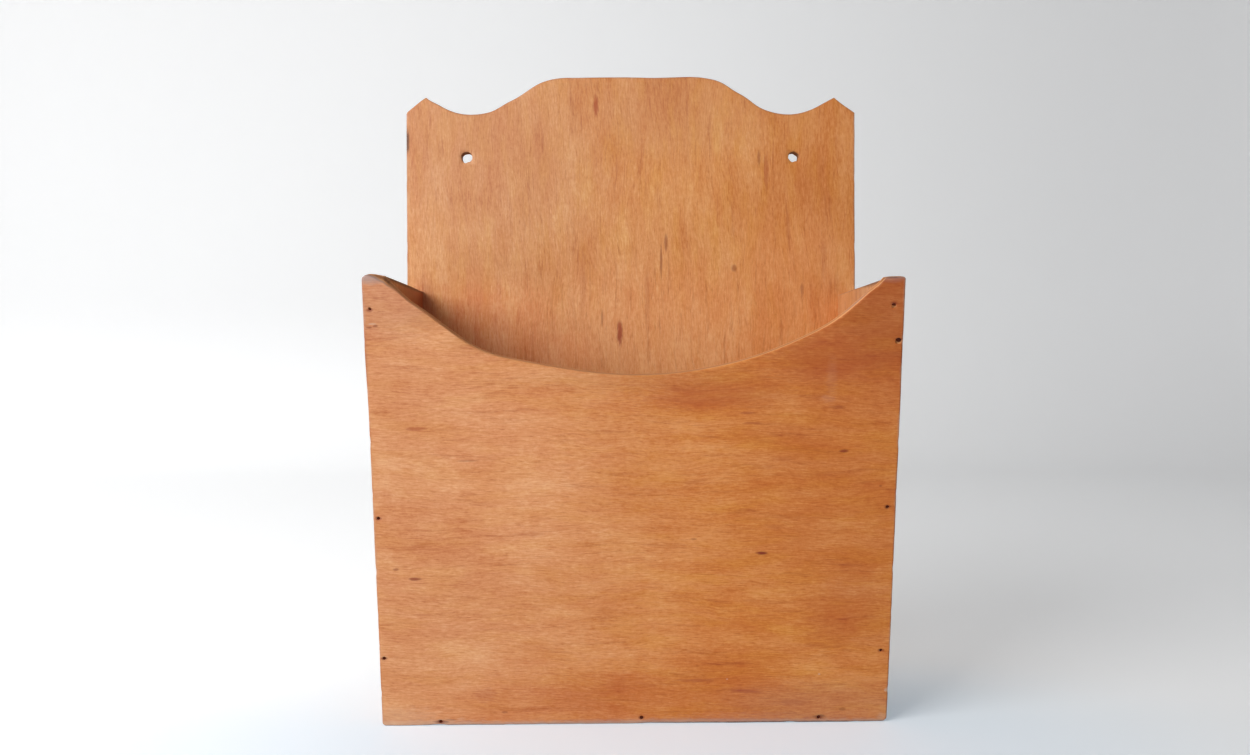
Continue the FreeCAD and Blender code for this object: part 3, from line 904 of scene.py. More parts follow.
@once
def wood_figure():
    """Grain of a board whose fibres run along its first axis.

    Broad tones and patches of hue lie under short wavy fibres, darker dashes and fine pores."""
    graph, given, out = group_tree(
        "wood_figure",
        {
            "Board": "vector", "Drift": "vector", "Pale": "colour", "Warm": "colour", "Gold": "colour",
            "Deep": "colour", "Streaks": "value", "Bleach": "colour", "Faded": "value",
            "Sun": "colour", "Sunned": "value",
        },
        {"Color": "colour", "Height": "value", "Cloud": "value"},
    )
    board = graph.vector("ADD", given["Board"], given["Drift"])
    along = graph.add("ShaderNodeSeparateXYZ", {0: board}).outputs["X"]
    sway = graph.times(graph.noise(board, (60, 30, 30), 2.0), 8.0)
    slant = graph.plus(sway, graph.times(along, 0.025))
    board = graph.vector("ADD", board, graph.add("ShaderNodeCombineXYZ", {"Y": slant}).outputs[0])
    elsewhere = graph.vector("ADD", board, (37.0, 91.0, 13.0))
    tone = graph.smooth(graph.noise(board, (130, 20, 9), 3.0, 0.55), 0.33, 0.67)
    gold = graph.smooth(graph.noise(elsewhere, (30, 7, 6), 3.0, 0.55), 0.42, 0.68)
    blush = graph.smooth(graph.noise(board, (44, 6.5, 6), 3.0, 0.6), 0.45, 0.72)
    streak = graph.smooth(graph.noise(elsewhere, (26, 2.6, 3), 4.0, 0.65, 0.3), 0.52, 0.78)
    dash = graph.smooth(graph.noise(board, (7.0, 0.85, 1.5), 3.0, 0.65), 0.54, 0.76)
    fibre = graph.noise(elsewhere, (5.5, 0.66, 1.2), 3.0, 0.62)
    mottle = graph.noise(board, (2.2, 1.5, 1.5), 3.0, 0.7)
    pore = graph.smooth(graph.noise(board, (3.0, 0.34, 0.6), 1.0), 0.58, 0.76)
    cloud = graph.noise(board, (42, 26, 20), 3.0, 0.55)
    patch = graph.noise(elsewhere, (26, 6.5, 5), 3.0, 0.55)
    colour = graph.mix(tone, given["Warm"], given["Pale"])
    colour = graph.mix(graph.times(gold, 0.7), colour, given["Gold"])
    colour = graph.mix(graph.times(blush, 0.5), colour, given["Pale"])
    # Painted light is laid into the figure's colour here, before the streaks
    colour = graph.mix(given["Sunned"], colour, given["Sun"])
    # Painted sheen screened over the colour
    colour = graph.mix(given["Faded"], colour, given["Bleach"], "SCREEN")
    colour = graph.mix(graph.times(streak, given["Streaks"]), colour, given["Deep"])
    dashes = graph.times(graph.times(dash, 0.9), given["Streaks"])
    colour = graph.mix(dashes, colour, given["Deep"])
    shade = graph.times(graph.minus(fibre, 0.5), 0.8)
    parts = ((cloud, 0.5, 0.6), (patch, 0.5, 0.45), (mottle, 0.5, 0.5), (pore, 0.25, 0.2))
    for value, middle, share in parts:
        shade = graph.plus(shade, graph.times(graph.minus(value, middle), share))
    dim = graph.minus(1.0, graph.times(shade, 0.18))
    colour = graph.mix(1.0, colour, graph.grey(dim), "MULTIPLY")
    depth = graph.plus(graph.times(shade, 0.8), 1.0)
    colour = graph.add("ShaderNodeGamma", {"Color": colour, "Gamma": depth}).outputs[0]
    height = graph.minus(graph.times(fibre, 0.7), graph.times(pore, 0.5))
    graph.feed(out["Color"], colour)
    graph.feed(out["Height"], height)
    graph.feed(out["Cloud"], cloud)
    return graph.tree


@once
def placed_mark():
    """Mask of one mark at a place on a board: an oval with a soft and slightly ragged edge."""
    sockets = {"Board": "vector", "Place": "vector", "Size": "vector", "Ragged": "value"}
    graph, given, out = group_tree("placed_mark", sockets, {"Mask": "value"})
    away = graph.vector("DIVIDE", graph.vector("SUBTRACT", given["Board"], given["Place"]), given["Size"])
    distance = graph.vector("LENGTH", away)
    rough = graph.minus(graph.noise(given["Board"], (3.5, 0.8, 2), 2.0), 0.5)
    distance = graph.plus(distance, graph.times(rough, given["Ragged"]))
    graph.feed(out["Mask"], graph.smooth(distance, 1.0, 0.3))
    return graph.tree


@once
def edge_wear():
    """Mask of the arrises where the varnish is rubbed off, in uneven lengths."""
    sockets = {"Board": "vector", "Near": "value", "Amount": "value"}
    graph, given, out = group_tree("edge_wear", sockets, {"Mask": "value"})
    patchy = graph.noise(given["Board"], (11, 11, 3), 3.0, 0.6)
    rubbed = graph.times(given["Near"], graph.smooth(patchy, 0.30, 0.72))
    graph.feed(out["Mask"], graph.times(graph.smooth(rubbed, 0.12, 0.75), given["Amount"], True))
    return graph.tree


@once
def sawn_plies():
    """Sawn edge of a board by its depth: a mask of the edge, and one of the dark core between the plies."""
    sockets = {"Board": "vector", "Thickness": "value", "Ply": "value"}
    graph, given, out = group_tree("sawn_plies", sockets, {"Sawn": "value", "Core": "value"})
    depth = graph.add("ShaderNodeSeparateXYZ", {0: given["Board"]}).outputs["Z"]
    inner = graph.math("MINIMUM", depth, graph.minus(given["Thickness"], depth))
    rough = graph.times(graph.minus(graph.noise(given["Board"], (3, 3, 0.6), 3.0), 0.5), 0.5)
    line = graph.plus(graph.minus(inner, given["Ply"]), rough)
    graph.feed(out["Sawn"], graph.smooth(inner, 0.22, 0.55))
    graph.feed(out["Core"], graph.smooth(line, -0.12, 0.12))
    return graph.tree


def new_material(name):
    """A material with a plain surface, and its graph."""
    material = bpy.data.materials.new(name)
    material.use_nodes = True
    graph = Graph(material.node_tree)
    surface = graph.add("ShaderNodeBsdfPrincipled")
    output = graph.add("ShaderNodeOutputMaterial")
    graph.feed(output.inputs["Surface"], surface.outputs[0])
    return material, graph, surface


def marks_mask(graph, board, marks, ragged=0.5):
    """The strongest of several marks, each with its place, half length, half width and strength."""
    whole = 0.0
    for *place, length, width, strength in marks:
        size = (length, width, MARK_REACH)
        mark = graph.group(placed_mark(), Board=board, Place=place, Size=size, Ragged=ragged)
        whole = graph.math("MAXIMUM", graph.times(mark["Mask"], strength), whole)
    return whole


def mark_layers(graph, board, finish, colour, layers):
    """Lays marks over a colour, layer by layer."""
    for tint, blend, ragged, marks in layers:
        mask = marks_mask(graph, board, marks, ragged)
        colour = graph.mix(mask, colour, getattr(finish, tint), blend)
    return colour


# Finishes by board
FIGURE_PLACES = {  # where each board is cut from the endless figure, in mm
    "front": (310.0, 40.0, 0.0), "back": (90.0, 730.0, 0.0), "left": (40.0, 400.0, 3.0),
    "right": (500.0, 90.0, 7.0), "bottom": (20.0, 150.0, 0.0),
}
STREAKS = 0.5  # strength of the dark streaks in all the wood
FACE_PLY = 1.5  # thickness in mm of the pale outer plies of the front and the back
SIDE_PLY = 2.0  # and of the other boards
FRONT_RUBBED = 0.45  # how bare the arrises of the front board are
RUBBED = 0.4  # and those of the other boards

# Marks in millimetres: along the grain, across it, depth of the face, half length, half width and strength
MARK_REACH = 2.5  # how far a mark goes up and down from its depth
PIN_STAIN = (2.2, 1.3, 0.7)  # the last three of a mark round a pin
HOLE_SHADE = (4.8, 4.8, 0.9)  # and of one in a hanging hole, painted shade on its bore
HOLE_SHADE_DEPTHS = (1.3, 3.7)
FRONT_FLECKS = (
    (99.4, 138.2, 0, 3.0, 1.1, 0.8), (61.3, 87.9, 0, 4.0, 1.1, 0.95), (-106.4, 76.0, 0, 4.2, 1.1, 0.75),
    (-115.3, 80.9, 0, 2.0, 0.9, 0.5), (28.3, 95.2, 0, 2.2, 0.8, 0.4), (117.2, 121.0, 0, 1.1, 0.8, 0.5),
    (-64.5, 6.8, 0, 2.0, 0.9, 0.45), (102.8, 6.8, 0, 2.4, 1.2, 0.45), (-123.0, 198.0, 0, 1.7, 0.7, 0.6),
    (-120.2, 198.7, 0, 1.7, 0.8, 0.6),
    (95.8, 159.5, 0, 4.8, 1.5, 0.35), (-79.8, 134.4, 0, 6.5, 0.8, 0.35),
)
# Smudges by the foot's pins, a painted contact shadow along the foot, and painted shade at the top corners
FRONT_SMUDGES_AND_SHADE = (
    (-96.2, 2.0, 0, 5.0, 1.2, 0.5), (-91.0, 2.9, 0, 4.0, 0.7, 0.3), (91.4, 2.9, 0, 4.6, 1.5, 0.5),
    (70.0, -0.2, 0, 90.0, 1.4, 0.75), (-90.0, -0.2, 0, 60.0, 0.8, 0.5),
    (-118.5, 222.6, 0, 8.0, 1.3, 0.4), (119.5, 221.0, 0, 7.0, 1.3, 0.4),
    (-114.5, 220.4, 3.6, 8.5, 4.5, 0.6), (118.0, 220.0, 3.0, 6.5, 4.0, 0.5),
)
FRONT_STREAKS = (
    (-103.2, 150.0, 0, 6.2, 1.4, 0.55), (78.3, 10.6, 0, 11.0, 2.2, 0.35), (69.9, 134.5, 0, 8.0, 2.0, 0.2),
    (60.9, 130.6, 0, 9.0, 1.5, 0.2), (67.8, 100.9, 0, 7.0, 1.6, 0.2), (-50.0, 98.2, 0, 9.0, 2.0, 0.2),
    (-74.1, 15.9, 0, 8.0, 5.0, 0.25), (88.8, 40.6, 0, 9.0, 2.2, 0.2), (-103.6, 57.7, 0, 5.0, 1.0, 0.2),
    (52.8, 156.9, 0, 5.0, 0.9, 0.5), (55.7, 152.0, 0, 6.5, 0.9, 0.5), (30.0, 22.6, 0, 14.0, 1.4, 0.45),
    (54.3, 16.8, 0, 11.0, 1.4, 0.5), (40.0, 165.0, 0, 48.0, 7.0, 0.22),
    (88.0, 182.0, 0, 40.0, 14.0, 0.25), (105.0, 60.0, 0, 30.0, 26.0, 0.16),
)
BACK_FLECKS = (
    (294.3, 72.0, 0, 6.0, 1.2, 0.5), (247.0, 19.6, 0, 6.5, 1.4, 0.55),
    (236.5, 16.9, 0, 13.0, 1.0, 0.55), (232.7, 57.8, 0, 3.0, 2.1, 0.5), (205.0, -16.3, 0, 6.5, 1.0, 0.4),
    (220.3, 96.0, 0, 5.0, 1.3, 0.4),
)
# Gum streaks; the mark at (208, -115), beside the left side, is painted reddish shade
BACK_STREAKS_AND_SHADE = (
    (196.5, -6.4, 0, 9.5, 2.2, 0.9), (218.0, 9.0, 0, 22.0, 2.2, 0.25), (286.0, 76.0, 0, 14.0, 2.0, 0.45),
    (238.0, 108.0, 0, 16.0, 2.4, 0.2), (228.0, -27.0, 0, 26.0, 2.6, 0.15),
    (323.5, -19.2, 0, 8.0, 2.2, 0.75), (208.0, -115.0, 0, 26.0, 9.0, 0.4),
)
BACK_GRIME = ((304.0, -124.6, 0, 9.0, 1.8, 0.8),)
# Painted sheen: a grey veil on the back's upper left and top
BACK_SHEEN_HAZE = ((300.0, -75.0, 0, 85.0, 95.0, 0.1), (320.0, 20.0, 0, 40.0, 80.0, 0.08))
# Painted red bounce light in the pocket's shade at the back's lower left
BACK_PAINTED_RED_BOUNCE = ((196.0, -88.0, 0, 42.0, 62.0, 1.0), (186.0, -45.0, 0, 18.0, 34.0, 0.7))
# Painted sheen over the front board's left half
FRONT_PAINTED_SHEEN = ((-150.0, 105.0, 0, 212.0, 320.0, 1.0),)
# Painted shade: the front darker to the right, at its upper corners, under the scoop's lip and at the foot
FRONT_PAINTED_SHADE = (
    (125.0, 150.0, 0, 115.0, 150.0, 0.30), (112.0, 196.0, 0, 75.0, 60.0, 0.75),
    (40.0, 168.0, 0, 75.0, 16.0, 0.35), (15.0, 8.0, 0, 130.0, 30.0, 0.32),
    (-118.0, 185.0, 0, 26.0, 34.0, 0.18), (-118.0, 212.0, 0, 24.0, 24.0, 0.32),
    (116.0, 212.0, 0, 24.0, 26.0, 0.85),
)
FRONT_SCUFFS = (
    (-121.5, 220.6, 0, 8.0, 4.0, 0.22), (92.5, 172.0, 0, 3.6, 16.0, 0.06), (91.0, 163.5, 0, 5.0, 2.6, 0.11),
    (-121.5, 199.6, 0, 2.6, 0.6, 0.5), (0.0, -0.2, 0, 420.0, 2.6, 0.4), (-108.0, 1.0, 0, 48.0, 3.6, 0.5),
    (-116.0, 3.0, 0, 26.0, 9.0, 0.25), (60.0, 1.0, 0, 90.0, 6.0, 0.1), (45.3, 23.2, 0, 0.8, 0.5, 0.5),
    (90.8, 25.5, 0, 0.9, 0.6, 0.6), (123.9, 16.8, 0, 1.2, 1.6, 0.7), (122.5, 2.6, 0, 3.4, 3.0, 0.3),
)
# Worn varnish along the foot, and a painted highlight and sheen on the top corners and the scoop's right
# edge
FRONT_HAZE_AND_SHEEN = (
    (-122.0, 222.5, 0, 11.0, 6.2, 0.6), (119.0, 222.0, 0, 11.0, 5.0, 0.35),
    (30.0, -0.2, 0, 200.0, 3.6, 0.45), (95.0, 10.0, 0, 75.0, 18.0, 0.1),
    (-112.0, 208.0, 0, 30.0, 22.0, 0.1), (103.0, 209.0, 3.0, 14.0, 9.0, 0.35),
)
# Painted shade in the arrises' tint: at the upper right, under the scoop's lip and at the foot's right
FRONT_SHADE_PATCHES = (
    (118.0, 206.0, 0, 34.0, 40.0, 0.38), (95.0, 6.0, 0, 60.0, 20.0, 0.15), (5.0, 173.0, 0, 85.0, 8.0, 0.22),
    (-95.0, 203.0, 0, 16.0, 10.0, 0.2), (-75.0, 191.0, 0, 18.0, 9.0, 0.18),
)
# Painted light on the front's middle left, and on the back's middle and lower part where the pocket shades
# it
FRONT_PAINTED_LIGHT = ((-55.0, 128.0, 0, 60.0, 70.0, 0.2),)
BACK_PAINTED_LIGHT = ((185.0, 20.0, 0, 70.0, 130.0, 0.6), (215.0, 92.0, 0, 70.0, 60.0, 0.4))
# Painted sheen over the back board's left
BACK_PAINTED_SHEEN = ((230.0, -150.0, 0, 300.0, 240.0, 0.5),)
# Painted shade along the back's top and at its right
BACK_PAINTED_SHADE = (
    (310.0, 125.0, 0, 150.0, 90.0, 0.34), (338.0, 0.0, 0, 40.0, 70.0, 0.25),
    (320.0, -110.0, 0, 70.0, 80.0, 0.25), (212.0, 112.0, 0, 32.0, 18.0, 0.4),
)
# Painted shade on the sides' inner faces, most on the left one, which faces away from the lamp
SIDE_PAINTED_SHADE = {"left": (200.0, 20.0, 0, 110.0, 90.0, 0.6), "right": (205.0, 44.0, 0, 70.0, 60.0, 0.35)}
# Painted reddish shade near the left side's rear corner
SIDE_RED_SHADE = {"left": ((200.0, 44.0, 0, 130.0, 70.0, 0.65),), "right": ()}
# Painted sheen on the right side's lit inner face near its front top
SIDE_SHEEN_HAZE = {"left": (), "right": ((212.0, -34.0, 0, 40.0, 60.0, 0.22),)}
# Painted shade along the sides' tops
SIDE_TOP_SHADE = {"left": (220.0, 0.0, 0, 2.2, 90.0, 0.7), "right": (217.6, -28.0, 0, 2.0, 32.0, 0.6)}


def varnished_wood(name, finish, tones, cut, thickness, ply, wear, light=((), ()), under=(), over=()):
    """Satin varnish over wood: the figure with its painted light and painted sheen, then the sawn edges and
    rubbed arrises.

    Layers of marks, each a tint, a blend, a raggedness and its marks, lie under and over those edges."""
    material, graph, surface = new_material(name)
    board = graph.add("ShaderNodeAttribute", attribute_name="board_mm").outputs["Vector"]
    near = graph.add("ShaderNodeAttribute", attribute_name="wear").outputs["Fac"]
    shades = {tone: getattr(finish, f"{tones}_{tone.lower()}") for tone in ("Pale", "Warm", "Gold", "Deep")}
    figure = graph.group(
        wood_figure(), Board=board, Drift=FIGURE_PLACES[cut], **shades, Streaks=STREAKS,
        Bleach=finish.bleach, Faded=marks_mask(graph, board, light[0], 0.3),
        Sun=finish.sunned, Sunned=marks_mask(graph, board, light[1], 0.5),
    )
    plies = graph.group(sawn_plies(), Board=board, Thickness=thickness / MM, Ply=ply)
    sawn = graph.mix(plies["Core"], finish.ply_light, finish.ply_dark)
    sawn = graph.mix(1.0, sawn, graph.grey(graph.around(figure["Cloud"], 0.5)), "MULTIPLY")
    rubbed = graph.group(edge_wear(), Board=board, Near=near, Amount=wear)["Mask"]
    colour = mark_layers(graph, board, finish, figure["Color"], under)
    colour = graph.mix(plies["Sawn"], colour, sawn)
    colour = graph.mix(graph.smooth(near, 0.2, 0.95), colour, finish.edge_tint, "MULTIPLY")
    colour = graph.mix(rubbed, colour, finish.raw_wood)
    colour = mark_layers(graph, board, finish, colour, over)
    graph.feed(surface.inputs["Base Color"], colour)
    rough = graph.times(graph.around(figure["Cloud"], 0.45), finish.roughness)
    bare = graph.math("MAXIMUM", graph.times(plies["Sawn"], 0.5), graph.times(rubbed, 0.3))
    graph.feed(surface.inputs["Roughness"], graph.plus(rough, bare, True))
    graph.feed(surface.inputs["Coat Weight"], graph.smooth(plies["Sawn"], 0.0, 1.0, 0.09, 0.0))
    graph.feed(surface.inputs["Normal"], graph.bump(figure["Height"], 0.35, 0.06 * MM))
    surface.inputs["Specular IOR Level"].default_value = 0.34
    surface.inputs["Coat Roughness"].default_value = 0.38
    return material


def pin_stains(rows, depth, along_first):
    """Stains of iron round the pins of some rows, drawn out along the grain."""
    marks = []
    for places in rows.values():
        for x, z in places:
            along, across = (x, z) if along_first else (z, x)
            marks.append((along / MM, across / MM, depth / MM, *PIN_STAIN))
    return marks


def hole_grime():
    """Painted shade in the bores of the hanging holes, at two depths, with a trace of it round their rims.
    """
    marks = []
    for across, height in hole_places():
        for depth in HOLE_SHADE_DEPTHS:
            marks.append((height / MM, across / MM, depth, *HOLE_SHADE))
    return marks


def front_veneer(finish):
    """The front board's finish, with painted sheen at the left and painted shade at the right, scuffed at
    its foot and corners.
    """
    under = (
        ("aged", "MULTIPLY", 0.5, FRONT_PAINTED_SHADE),
        ("edge_tint", "MULTIPLY", 0.5, FRONT_SHADE_PATCHES),
        ("red_streak", "MIX", 0.9, FRONT_STREAKS),
    )
    over = (
        ("raw_wood", "MIX", 1.0, FRONT_SCUFFS),
        ("haze", "MIX", 0.4, FRONT_HAZE_AND_SHEEN),
        ("stain", "MIX", 0.6, FRONT_FLECKS),
        ("steel", "MIX", 1.0, FRONT_SMUDGES_AND_SHADE),
        ("stain", "MIX", 0.7, pin_stains(front_pin_places(), 0.0, True)),
    )
    light = (FRONT_PAINTED_SHEEN, FRONT_PAINTED_LIGHT)
    return varnished_wood(
        "front_veneer", finish, "front", "front", FRONT_THICKNESS, FACE_PLY, FRONT_RUBBED,
        light, under, over,
    )


def back_veneer(finish):
    """The back board's finish: painted light low in the middle, painted sheen at the left, painted shade at
    the top and right, painted red bounce low at the left.
    """
    thickness = WALL_Y - BACK_FACE_Y
    under = (
        ("aged", "MULTIPLY", 0.5, BACK_PAINTED_SHADE),
        ("haze", "MIX", 0.5, BACK_SHEEN_HAZE),
        ("unfaded", "SCREEN", 0.3, BACK_PAINTED_RED_BOUNCE),
        ("red_streak", "MIX", 0.9, BACK_STREAKS_AND_SHADE),
    )
    over = (
        ("stain", "MIX", 0.6, BACK_FLECKS),
        ("stain", "MIX", 0.7, pin_stains(back_pin_places(), thickness, False)),
        ("steel", "MIX", 0.6, BACK_GRIME),
        ("steel", "MIX", 0.3, hole_grime()),
    )
    light = (BACK_PAINTED_SHEEN, BACK_PAINTED_LIGHT)
    return varnished_wood(
        "back_veneer", finish, "back", "back", thickness, FACE_PLY, RUBBED, light, under, over
    )


def side_wood(finish, side):
    """The finish of the left or right side, with painted shade along its top and on its inner face, and
    painted red shade on the left.
    """
    pins = pin_stains({side: base_pin_places()}, SIDE_THICKNESS, False)
    under = (
        ("aged", "MULTIPLY", 0.5, (SIDE_PAINTED_SHADE[side],)),
        ("red_streak", "MIX", 0.5, SIDE_RED_SHADE[side]),
        ("haze", "MIX", 0.5, SIDE_SHEEN_HAZE[side]),
    )
    over = (("stain", "MIX", 0.7, pins), ("steel", "MIX", 0.3, (SIDE_TOP_SHADE[side],)))
    return varnished_wood(
        side + "_side_wood", finish, "side", side, SIDE_THICKNESS, SIDE_PLY, RUBBED, under=under, over=over
    )


def bottom_wood(finish):
    """The finish of the pocket's floor, without marks of its own."""
    return varnished_wood("bottom_wood", finish, "side", "bottom", BOTTOM_THICKNESS, SIDE_PLY, RUBBED)


def pin_steel(finish):
    """Darkened steel with patches of rust and hammer marks."""
    material, graph, surface = new_material("pin_steel")
    place = graph.add("ShaderNodeTexCoord").outputs["Object"]
    patches = graph.smooth(graph.noise(place, (0.7 * MM, 0.7 * MM, 0.7 * MM), 4.0, 0.65), 0.42, 0.60)
    scratch = graph.noise(place, (0.12 * MM, 0.12 * MM, 0.12 * MM), 2.0)
    graph.feed(surface.inputs["Base Color"], graph.mix(patches, finish.steel, finish.rust))
    graph.feed(surface.inputs["Metallic"], graph.smooth(patches, 0.0, 1.0, 0.4, 0.05))
    graph.feed(surface.inputs["Roughness"], graph.smooth(patches, 0.0, 1.0, 0.55, 0.9))
    graph.feed(surface.inputs["Normal"], graph.bump(scratch, 0.4, 0.03 * MM))
    surface.inputs["Specular IOR Level"].default_value = 0.15
    return material


# Stage

CAMERA_PLACE = (-10.31 * MM, -484.53 * MM, 174.90 * MM)
CAMERA_YAW = math.radians(-0.727)
CAMERA_PITCH = math.radians(0.356)
CAMERA_ROLL = math.radians(-0.245)
SENSOR_WIDTH = 36.0
CAMERA_CLIP_START = 10 * MM
KEY_PLACE = (-1.12, -0.90, 0.80)
KEY_AIM = (0.0, 0.0, 0.14)
FILL_COLOUR = (0.97, 0.98, 1.0, 1.0)
STAGE_TURN_POINTS = 128
STAGE_FLAT_RINGS = 12
STAGE_COVE_RINGS = 24
STAGE_SQUARENESS = 6
STAGE_DROP = 0.1 * MM
GLOW_REACH = 1.2  # from the middle to where the added paleness of each side is full
FRONT_GLOW = 0.85  # share of the paleness that is left in front of the holder
BOUNCE_PLACE = (0.0, -0.05, 0.0)
BOUNCE_SIZE = (0.36, 0.17, 0.5)


def stage_mesh(settings):
    """Floor and backdrop as one bowl: level, then a quarter arc, then upright, turned round the middle.

    The turn follows a square with round corners in place of a circle: its radius is that of the profile
    times (|cos|^n + |sin|^n)^(-1/n), with n the squareness."""
    flat = np.linspace(0.05, 1.0, STAGE_FLAT_RINGS) * settings.floor_radius
    turn = np.linspace(0, math.pi / 2, STAGE_COVE_RINGS + 1)[1:]
    cove = settings.cove_radius
    edge = settings.floor_radius
    radius = np.concatenate([flat, edge + cove * np.sin(turn), [edge + cove]])
    height = np.concatenate([np.zeros(len(flat)), cove * (1 - np.cos(turn)), [settings.backdrop_height]])
    turns = np.linspace(0, 2 * math.pi, STAGE_TURN_POINTS, endpoint=False)
    ways = np.stack([np.cos(turns), np.sin(turns)])
    ways = ways * (np.abs(ways) ** STAGE_SQUARENESS).sum(axis=0) ** (-1 / STAGE_SQUARENESS)
    across, deep = ways[:, None, :] * radius[:, None]
    rings = np.stack(np.broadcast_arrays(across, deep, height[:, None] - STAGE_DROP), axis=-1)
    number = np.arange(rings.size // 3).reshape(rings.shape[:2])
    near, far = number[:-1], number[1:]
    walls = np.stack([near, far, np.roll(far, -1, 1), np.roll(near, -1, 1)], axis=-1).reshape(-1, 4)
    middle = np.stack([number[0], np.roll(number[0], -1), np.full(STAGE_TURN_POINTS, number.size)], axis=-1)
    points = np.concatenate([rings.reshape(-1, 3), [(0.0, 0.0, -STAGE_DROP)]])
    return new_mesh("stage", points, walls.tolist() + middle.tolist())


def stage_paint(settings):
    """Matt pale paint with a faint mottle, and a glow seen by camera and glossy rays that is painted light,
    strongest at the left.

    A cool tint in front of the holder balances the warm light that its front throws on the floor."""
    material, graph, surface = new_material("stage_paint")
    place = graph.add("ShaderNodeTexCoord").outputs["Object"]
    mottle = graph.around(graph.noise(place, (0.5, 0.5, 0.5), 3.0), 0.03)
    colour = graph.mix(1.0, settings.floor, graph.grey(mottle), "MULTIPLY")
    graph.feed(surface.inputs["Base Color"], colour)
    surface.inputs["Roughness"].default_value = 0.9
    axes = graph.add("ShaderNodeSeparateXYZ", {0: place}).outputs
    # Painted light: the glow falls from the left to the right
    reach = {"Value": axes["X"], "From Min": -GLOW_REACH, "From Max": GLOW_REACH}
    span = {"To Min": settings.glow_left, "To Max": settings.glow_right}
    glow = graph.add("ShaderNodeMapRange", {**reach, **span}).outputs[0]
    # Painted light a little dimmer in front of the holder
    glow = graph.times(glow, graph.smooth(axes["Y"], -0.03, 0.12, FRONT_GLOW, 1.0))
    # A painted pool of light on the floor at the left
    low = graph.times(graph.smooth(axes["X"], -0.03, -0.22), graph.smooth(axes["Z"], 0.35, 0.05))
    glow = graph.plus(glow, graph.times(low, settings.glow_floor))
    away = graph.vector("DIVIDE", graph.vector("SUBTRACT", place, BOUNCE_PLACE), BOUNCE_SIZE)
    bounce = graph.smooth(graph.vector("LENGTH", away), 1.0, 0.3)
    glow = graph.mix(bounce, graph.grey(glow), settings.bounce_tint, "MULTIPLY")
    ways = graph.add("ShaderNodeLightPath").outputs
    seen = graph.plus(ways["Is Glossy Ray"], ways["Is Transmission Ray"])
    seen = graph.plus(seen, ways["Is Camera Ray"], True)
    graph.feed(surface.inputs["Emission Color"], graph.mix(seen, (0.0, 0.0, 0.0), glow))
    surface.inputs["Emission Strength"].default_value = 1.0
    return material


def add_lamp(name, place, aim, size, power):
    """A large square lamp that faces a point."""
    lamp = bpy.data.lights.new(name, "AREA")
    lamp.size = size
    lamp.energy = power
    holder = bpy.data.objects.new(name, lamp)
    holder.location = place
    holder.rotation_euler = (Vector(aim) - Vector(place)).to_track_quat("-Z", "Y").to_euler()
    holder.visible_camera = False
    bpy.context.scene.collection.objects.link(holder)


def add_camera(settings):
    """The camera, from its place and its turns: yaw about the upright, then pitch down, then roll."""
    yaw, pitch, roll = CAMERA_YAW, CAMERA_PITCH, CAMERA_ROLL
    upright = Vector((0, 0, 1))
    level = Vector((-math.sin(yaw), math.cos(yaw), 0))
    right = Vector((math.cos(yaw), math.sin(yaw), 0))
    forward = math.cos(pitch) * level - math.sin(pitch) * upright
    up = math.sin(pitch) * level + math.cos(pitch) * upright
    axes = (
        math.cos(roll) * right + math.sin(roll) * up,
        math.cos(roll) * up - math.sin(roll) * right,
        -forward,
    )
    data = bpy.data.cameras.new("camera")
    data.sensor_width = SENSOR_WIDTH
    data.lens = settings.lens
    data.clip_start = CAMERA_CLIP_START
    camera = bpy.data.objects.new("camera", data)
    camera.location = CAMERA_PLACE
    camera.rotation_euler = Matrix(axes).transposed().to_euler()
    bpy.context.scene.collection.objects.link(camera)
    bpy.context.scene.camera = camera


def light_world(settings):
    """Even pale light from all round."""
    world = bpy.data.worlds.new("pale_light")
    world.use_nodes = True
    background = world.node_tree.nodes["Background"]
    background.inputs["Color"].default_value = FILL_COLOUR
    background.inputs["Strength"].default_value = settings.fill
    bpy.context.scene.world = world


# Operators


class LETTERHOLDER_OT_back_board(bpy.types.Operator):
    """Build the shaped back board with its hanging holes"""

    bl_idname = "letter_holder.back_board"
    bl_label = "Back Board"

    def execute(self, context):
        mesh = back_board(context.scene.holder_shape)
        add_piece(mesh, back_veneer(context.scene.holder_finish), "back_plywood", "back_panel")
        return {"FINISHED"}


class LETTERHOLDER_OT_front_board(bpy.types.Operator):
    """Build the leaning front board with its scooped top"""

    bl_idname = "letter_holder.front_board"
    bl_label = "Front Board"

    def execute(self, context):
        mesh = front_board(context.scene.holder_shape)
        add_piece(mesh, front_veneer(context.scene.holder_finish), "front_plywood", "front_panel")
        return {"FINISHED"}


class LETTERHOLDER_OT_side_boards(bpy.types.Operator):
    """Build the two tapered sides"""

    bl_idname = "letter_holder.side_boards"
    bl_label = "Side Boards"

    def execute(self, context):
        for side, sign in SIDES.items():
            mesh = side_board(context.scene.holder_shape, side + "_side_board", sign)
            add_piece(mesh, side_wood(context.scene.holder_finish, side), "side_wood", side + "_side")
        return {"FINISHED"}


class LETTERHOLDER_OT_bottom_board(bpy.types.Operator):
    """Build the floor of the pocket"""

    bl_idname = "letter_holder.bottom_board"
    bl_label = "Bottom Board"

    def execute(self, context):
        mesh = bottom_board(context.scene.holder_shape)
        add_piece(mesh, bottom_wood(context.scene.holder_finish), "bottom_wood", "bottom_board")
        return {"FINISHED"}


